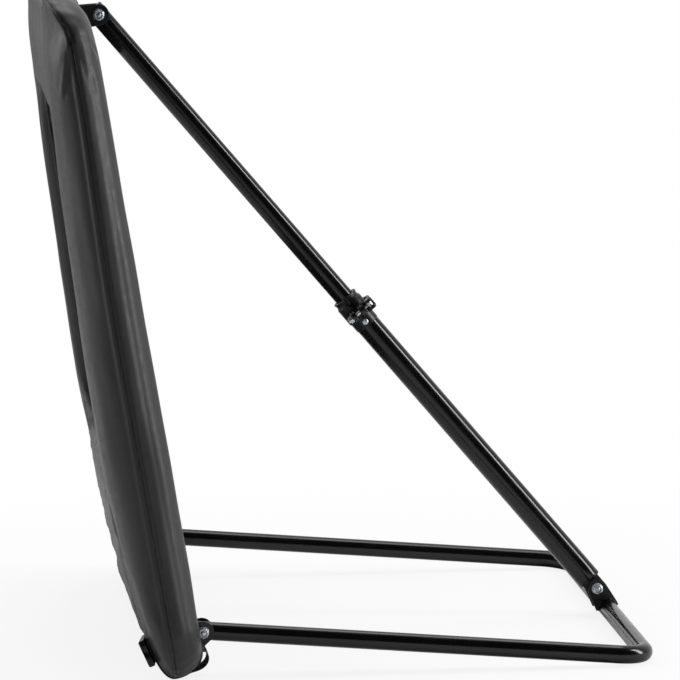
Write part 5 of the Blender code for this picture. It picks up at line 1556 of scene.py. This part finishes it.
def prism(outline, low, high, edge):
    """An outline (y, z) about the clamp carried along x from low to high, with rounded edges."""
    centre = outline.mean(0)
    size = np.linalg.norm(outline - centre, axis=1).mean()
    soft = edge * 0.3
    rows = []
    for inset, at in ((edge, low), (soft, low + soft), (0, low + edge),
                      (0, high - edge), (soft, high - soft), (edge, high)):
        ring = centre + (outline - centre) * (1 - inset / size)
        rows.append(on_strut(at, ring[:, 0], CLAMP_Z + ring[:, 1]))
    return grid_shape(np.stack(rows), caps=(True, True))


clamp_centre = on_strut(0, 0, CLAMP_Z)
sleeve = turned(SLEEVE, clamp_centre, (STRUT_UP, STRUT_REAR, SIDEWAYS), sides=64, closed=True)
gap = math.asin(SPLIT_HALF / SPLIT_RADIUS)
turn = np.linspace(-math.pi / 2 + gap, 1.5 * math.pi - gap, 61)[:, None]
around = np.cos(turn) * STRUT_REAR + np.sin(turn) * SIDEWAYS
split_ring = grid_shape(clamp_centre + SPLIT_RING[:, 0, None] * STRUT_UP
                        + SPLIT_RING[:, 1, None] * around[:, None], caps=(True, True))
nose = np.linspace(math.pi / 2, 1.5 * math.pi, 25)
root = np.linspace(-10, 10, 9) * MM
ear = np.concatenate([
    np.stack([CLAMP_BOLT_Y + EAR_NOSE * np.cos(nose), EAR_NOSE * np.sin(nose)], 1),
    np.stack([np.full(len(root), EAR_ROOT_Y), root], 1)])
ears = [prism(ear, low, high, EAR_EDGE)
        for low, high in ((SPLIT_HALF, EAR_OUT), (-EAR_OUT, -SPLIT_HALF))]
make_piece("clamp_rivet_form", turned(RIVET_HEAD, on_strut(0, 0, RIVET_Z),
                                      (-SIDEWAYS, STRUT_UP, STRUT_REAR), sides=24),
           "strut_lower", ZINC, ("clamp_rivet",), 30)
make_piece("clamp_collar_form", join_shapes([sleeve, split_ring] + ears), "strut_lower", NYLON,
           ("clamp_collar",), 30)

# %% [markdown]
# The two ears that hold the strut's foot are welded to the rear bar. A weld is a rippled bead,
# so it is a ring path round the bar whose radius rises and falls like laid metal.

# %% Welds of the foot ears
EAR_SIDES = (17.6 * MM, 22.0 * MM)
WELD_START, WELD_END = 15, 205
WELD_POINTS = 46
WELD_SEAT = 0.5 * MM


def weld(y):
    """A bead on the rear bar along an ear: a ring path whose radius is a sum of two waves."""
    turn = np.radians(np.linspace(WELD_START, WELD_END, WELD_POINTS))
    ring = BASE_RADIUS + WELD_SEAT
    path = on_base(LEG_LENGTH + ring * np.cos(turn), y, ring * np.sin(turn))
    part = np.linspace(0, 1, WELD_POINTS)
    ripple = 1.7 + 0.25 * np.sin(part * 60) + 0.2 * np.sin(part * 23 + y * 900)
    taper = np.sqrt(np.clip(np.sin(math.pi * part) * 6, 0.05, 1))
    return grid_shape(swept_rows(path, path_directions(path), ripple * MM * taper, SIDEWAYS, 10),
                      caps=(True, True))


make_piece("foot_welds", join_shapes([weld(side * y) for side in (-1, 1) for y in EAR_SIDES]),
           "base", SATIN_BLACK, sharp=None)

# %% [markdown]
# ## Fasteners
# Each pivot is an M8 bolt with a washer on each side. The head has a turned groove round a
# raised middle, which shows as a dark ring; the nut has the slight cone of a formed nut, and the
# bolt's end stands out of it.

# %% Pivot bolts, nuts and washers
BOLT_RADIUS = 4 * MM
BOLT_END, BOLT_CHAMFER = 3 * MM, 0.8 * MM
HEAD_ACROSS = 13 * MM
HEAD_HEIGHT = 5.3 * MM
NUT_HEIGHT = 6.5 * MM
PLAY = 0.3 * MM
WASHER_THICKNESS, WASHER_RADIUS, WASHER_BORE = 1.6 * MM, 8 * MM, 4.3 * MM
WASHER_EDGE = 0.25 * MM
# Rows across a face, from its rim inwards: (radius share, shift along the axis).
HEAD_FACE = ((0.95, -0.35 * MM), (0.88, -0.5 * MM), (0.81, -0.35 * MM), (0.75, 0.1 * MM),
             (0.72, 1.4 * MM), (0.53, 1.4 * MM), (0.49, 0.1 * MM), (0.42, -0.3 * MM),
             (0.3, -0.55 * MM), (0.15, -0.7 * MM))
NUT_FACE = ((0.9, 0.0), (0.7, -0.3 * MM))
# Each pivot: its name, the half width of what it holds, and its body.
PIVOTS = (("top_pivot", 17 * MM, "panel"), ("leg_pivot_near", 15.5 * MM, "panel"),
          ("leg_pivot_far", 15.5 * MM, "panel"), ("foot_pivot", 21.8 * MM, "base"))


def washer_section():
    """(along, radius) round the section of a washer, with its edges rubbed off."""
    half, outer, inner, edge = WASHER_THICKNESS / 2, WASHER_RADIUS, WASHER_BORE, WASHER_EDGE
    return [(-half, inner + edge), (-half, outer - edge), (-half + edge, outer),
            (half - edge, outer), (half, outer - edge), (half, inner + edge),
            (half - edge, inner), (-half + edge, inner)]


for name, half_width, body in PIVOTS:
    centre = middle_of(name + "_bolt")
    washers = [middle_of(f"{name}_washer_{side}") for side in ("near", "far")]
    centre[1] = (washers[0][1] + washers[1][1]) / 2
    seat = half_width + PLAY + WASHER_THICKNESS + PLAY
    end = seat + NUT_HEIGHT + BOLT_END
    head = hexagon(HEAD_ACROSS, -seat, -seat - HEAD_HEIGHT, centre, WIDE_WAYS, HEAD_FACE)
    shank = turned([(-seat - 0.5 * MM, BOLT_RADIUS), (end - BOLT_CHAMFER, BOLT_RADIUS),
                    (end, BOLT_RADIUS - BOLT_CHAMFER)], centre, sides=32)
    nut = hexagon(HEAD_ACROSS, seat, seat + NUT_HEIGHT, centre, WIDE_WAYS, NUT_FACE)
    make_piece(name + "_bolt_form", join_shapes([head, shank]), body, ZINC, (name + "_bolt",),
               28)
    make_piece(name + "_nut_form", nut, body, ZINC, (name + "_nut",), 28)
    for side, place in zip(("near", "far"), washers):
        make_piece(f"{name}_washer_{side}_form", turned(washer_section(), place, closed=True),
                   body, ZINC, (f"{name}_washer_{side}",), 30)
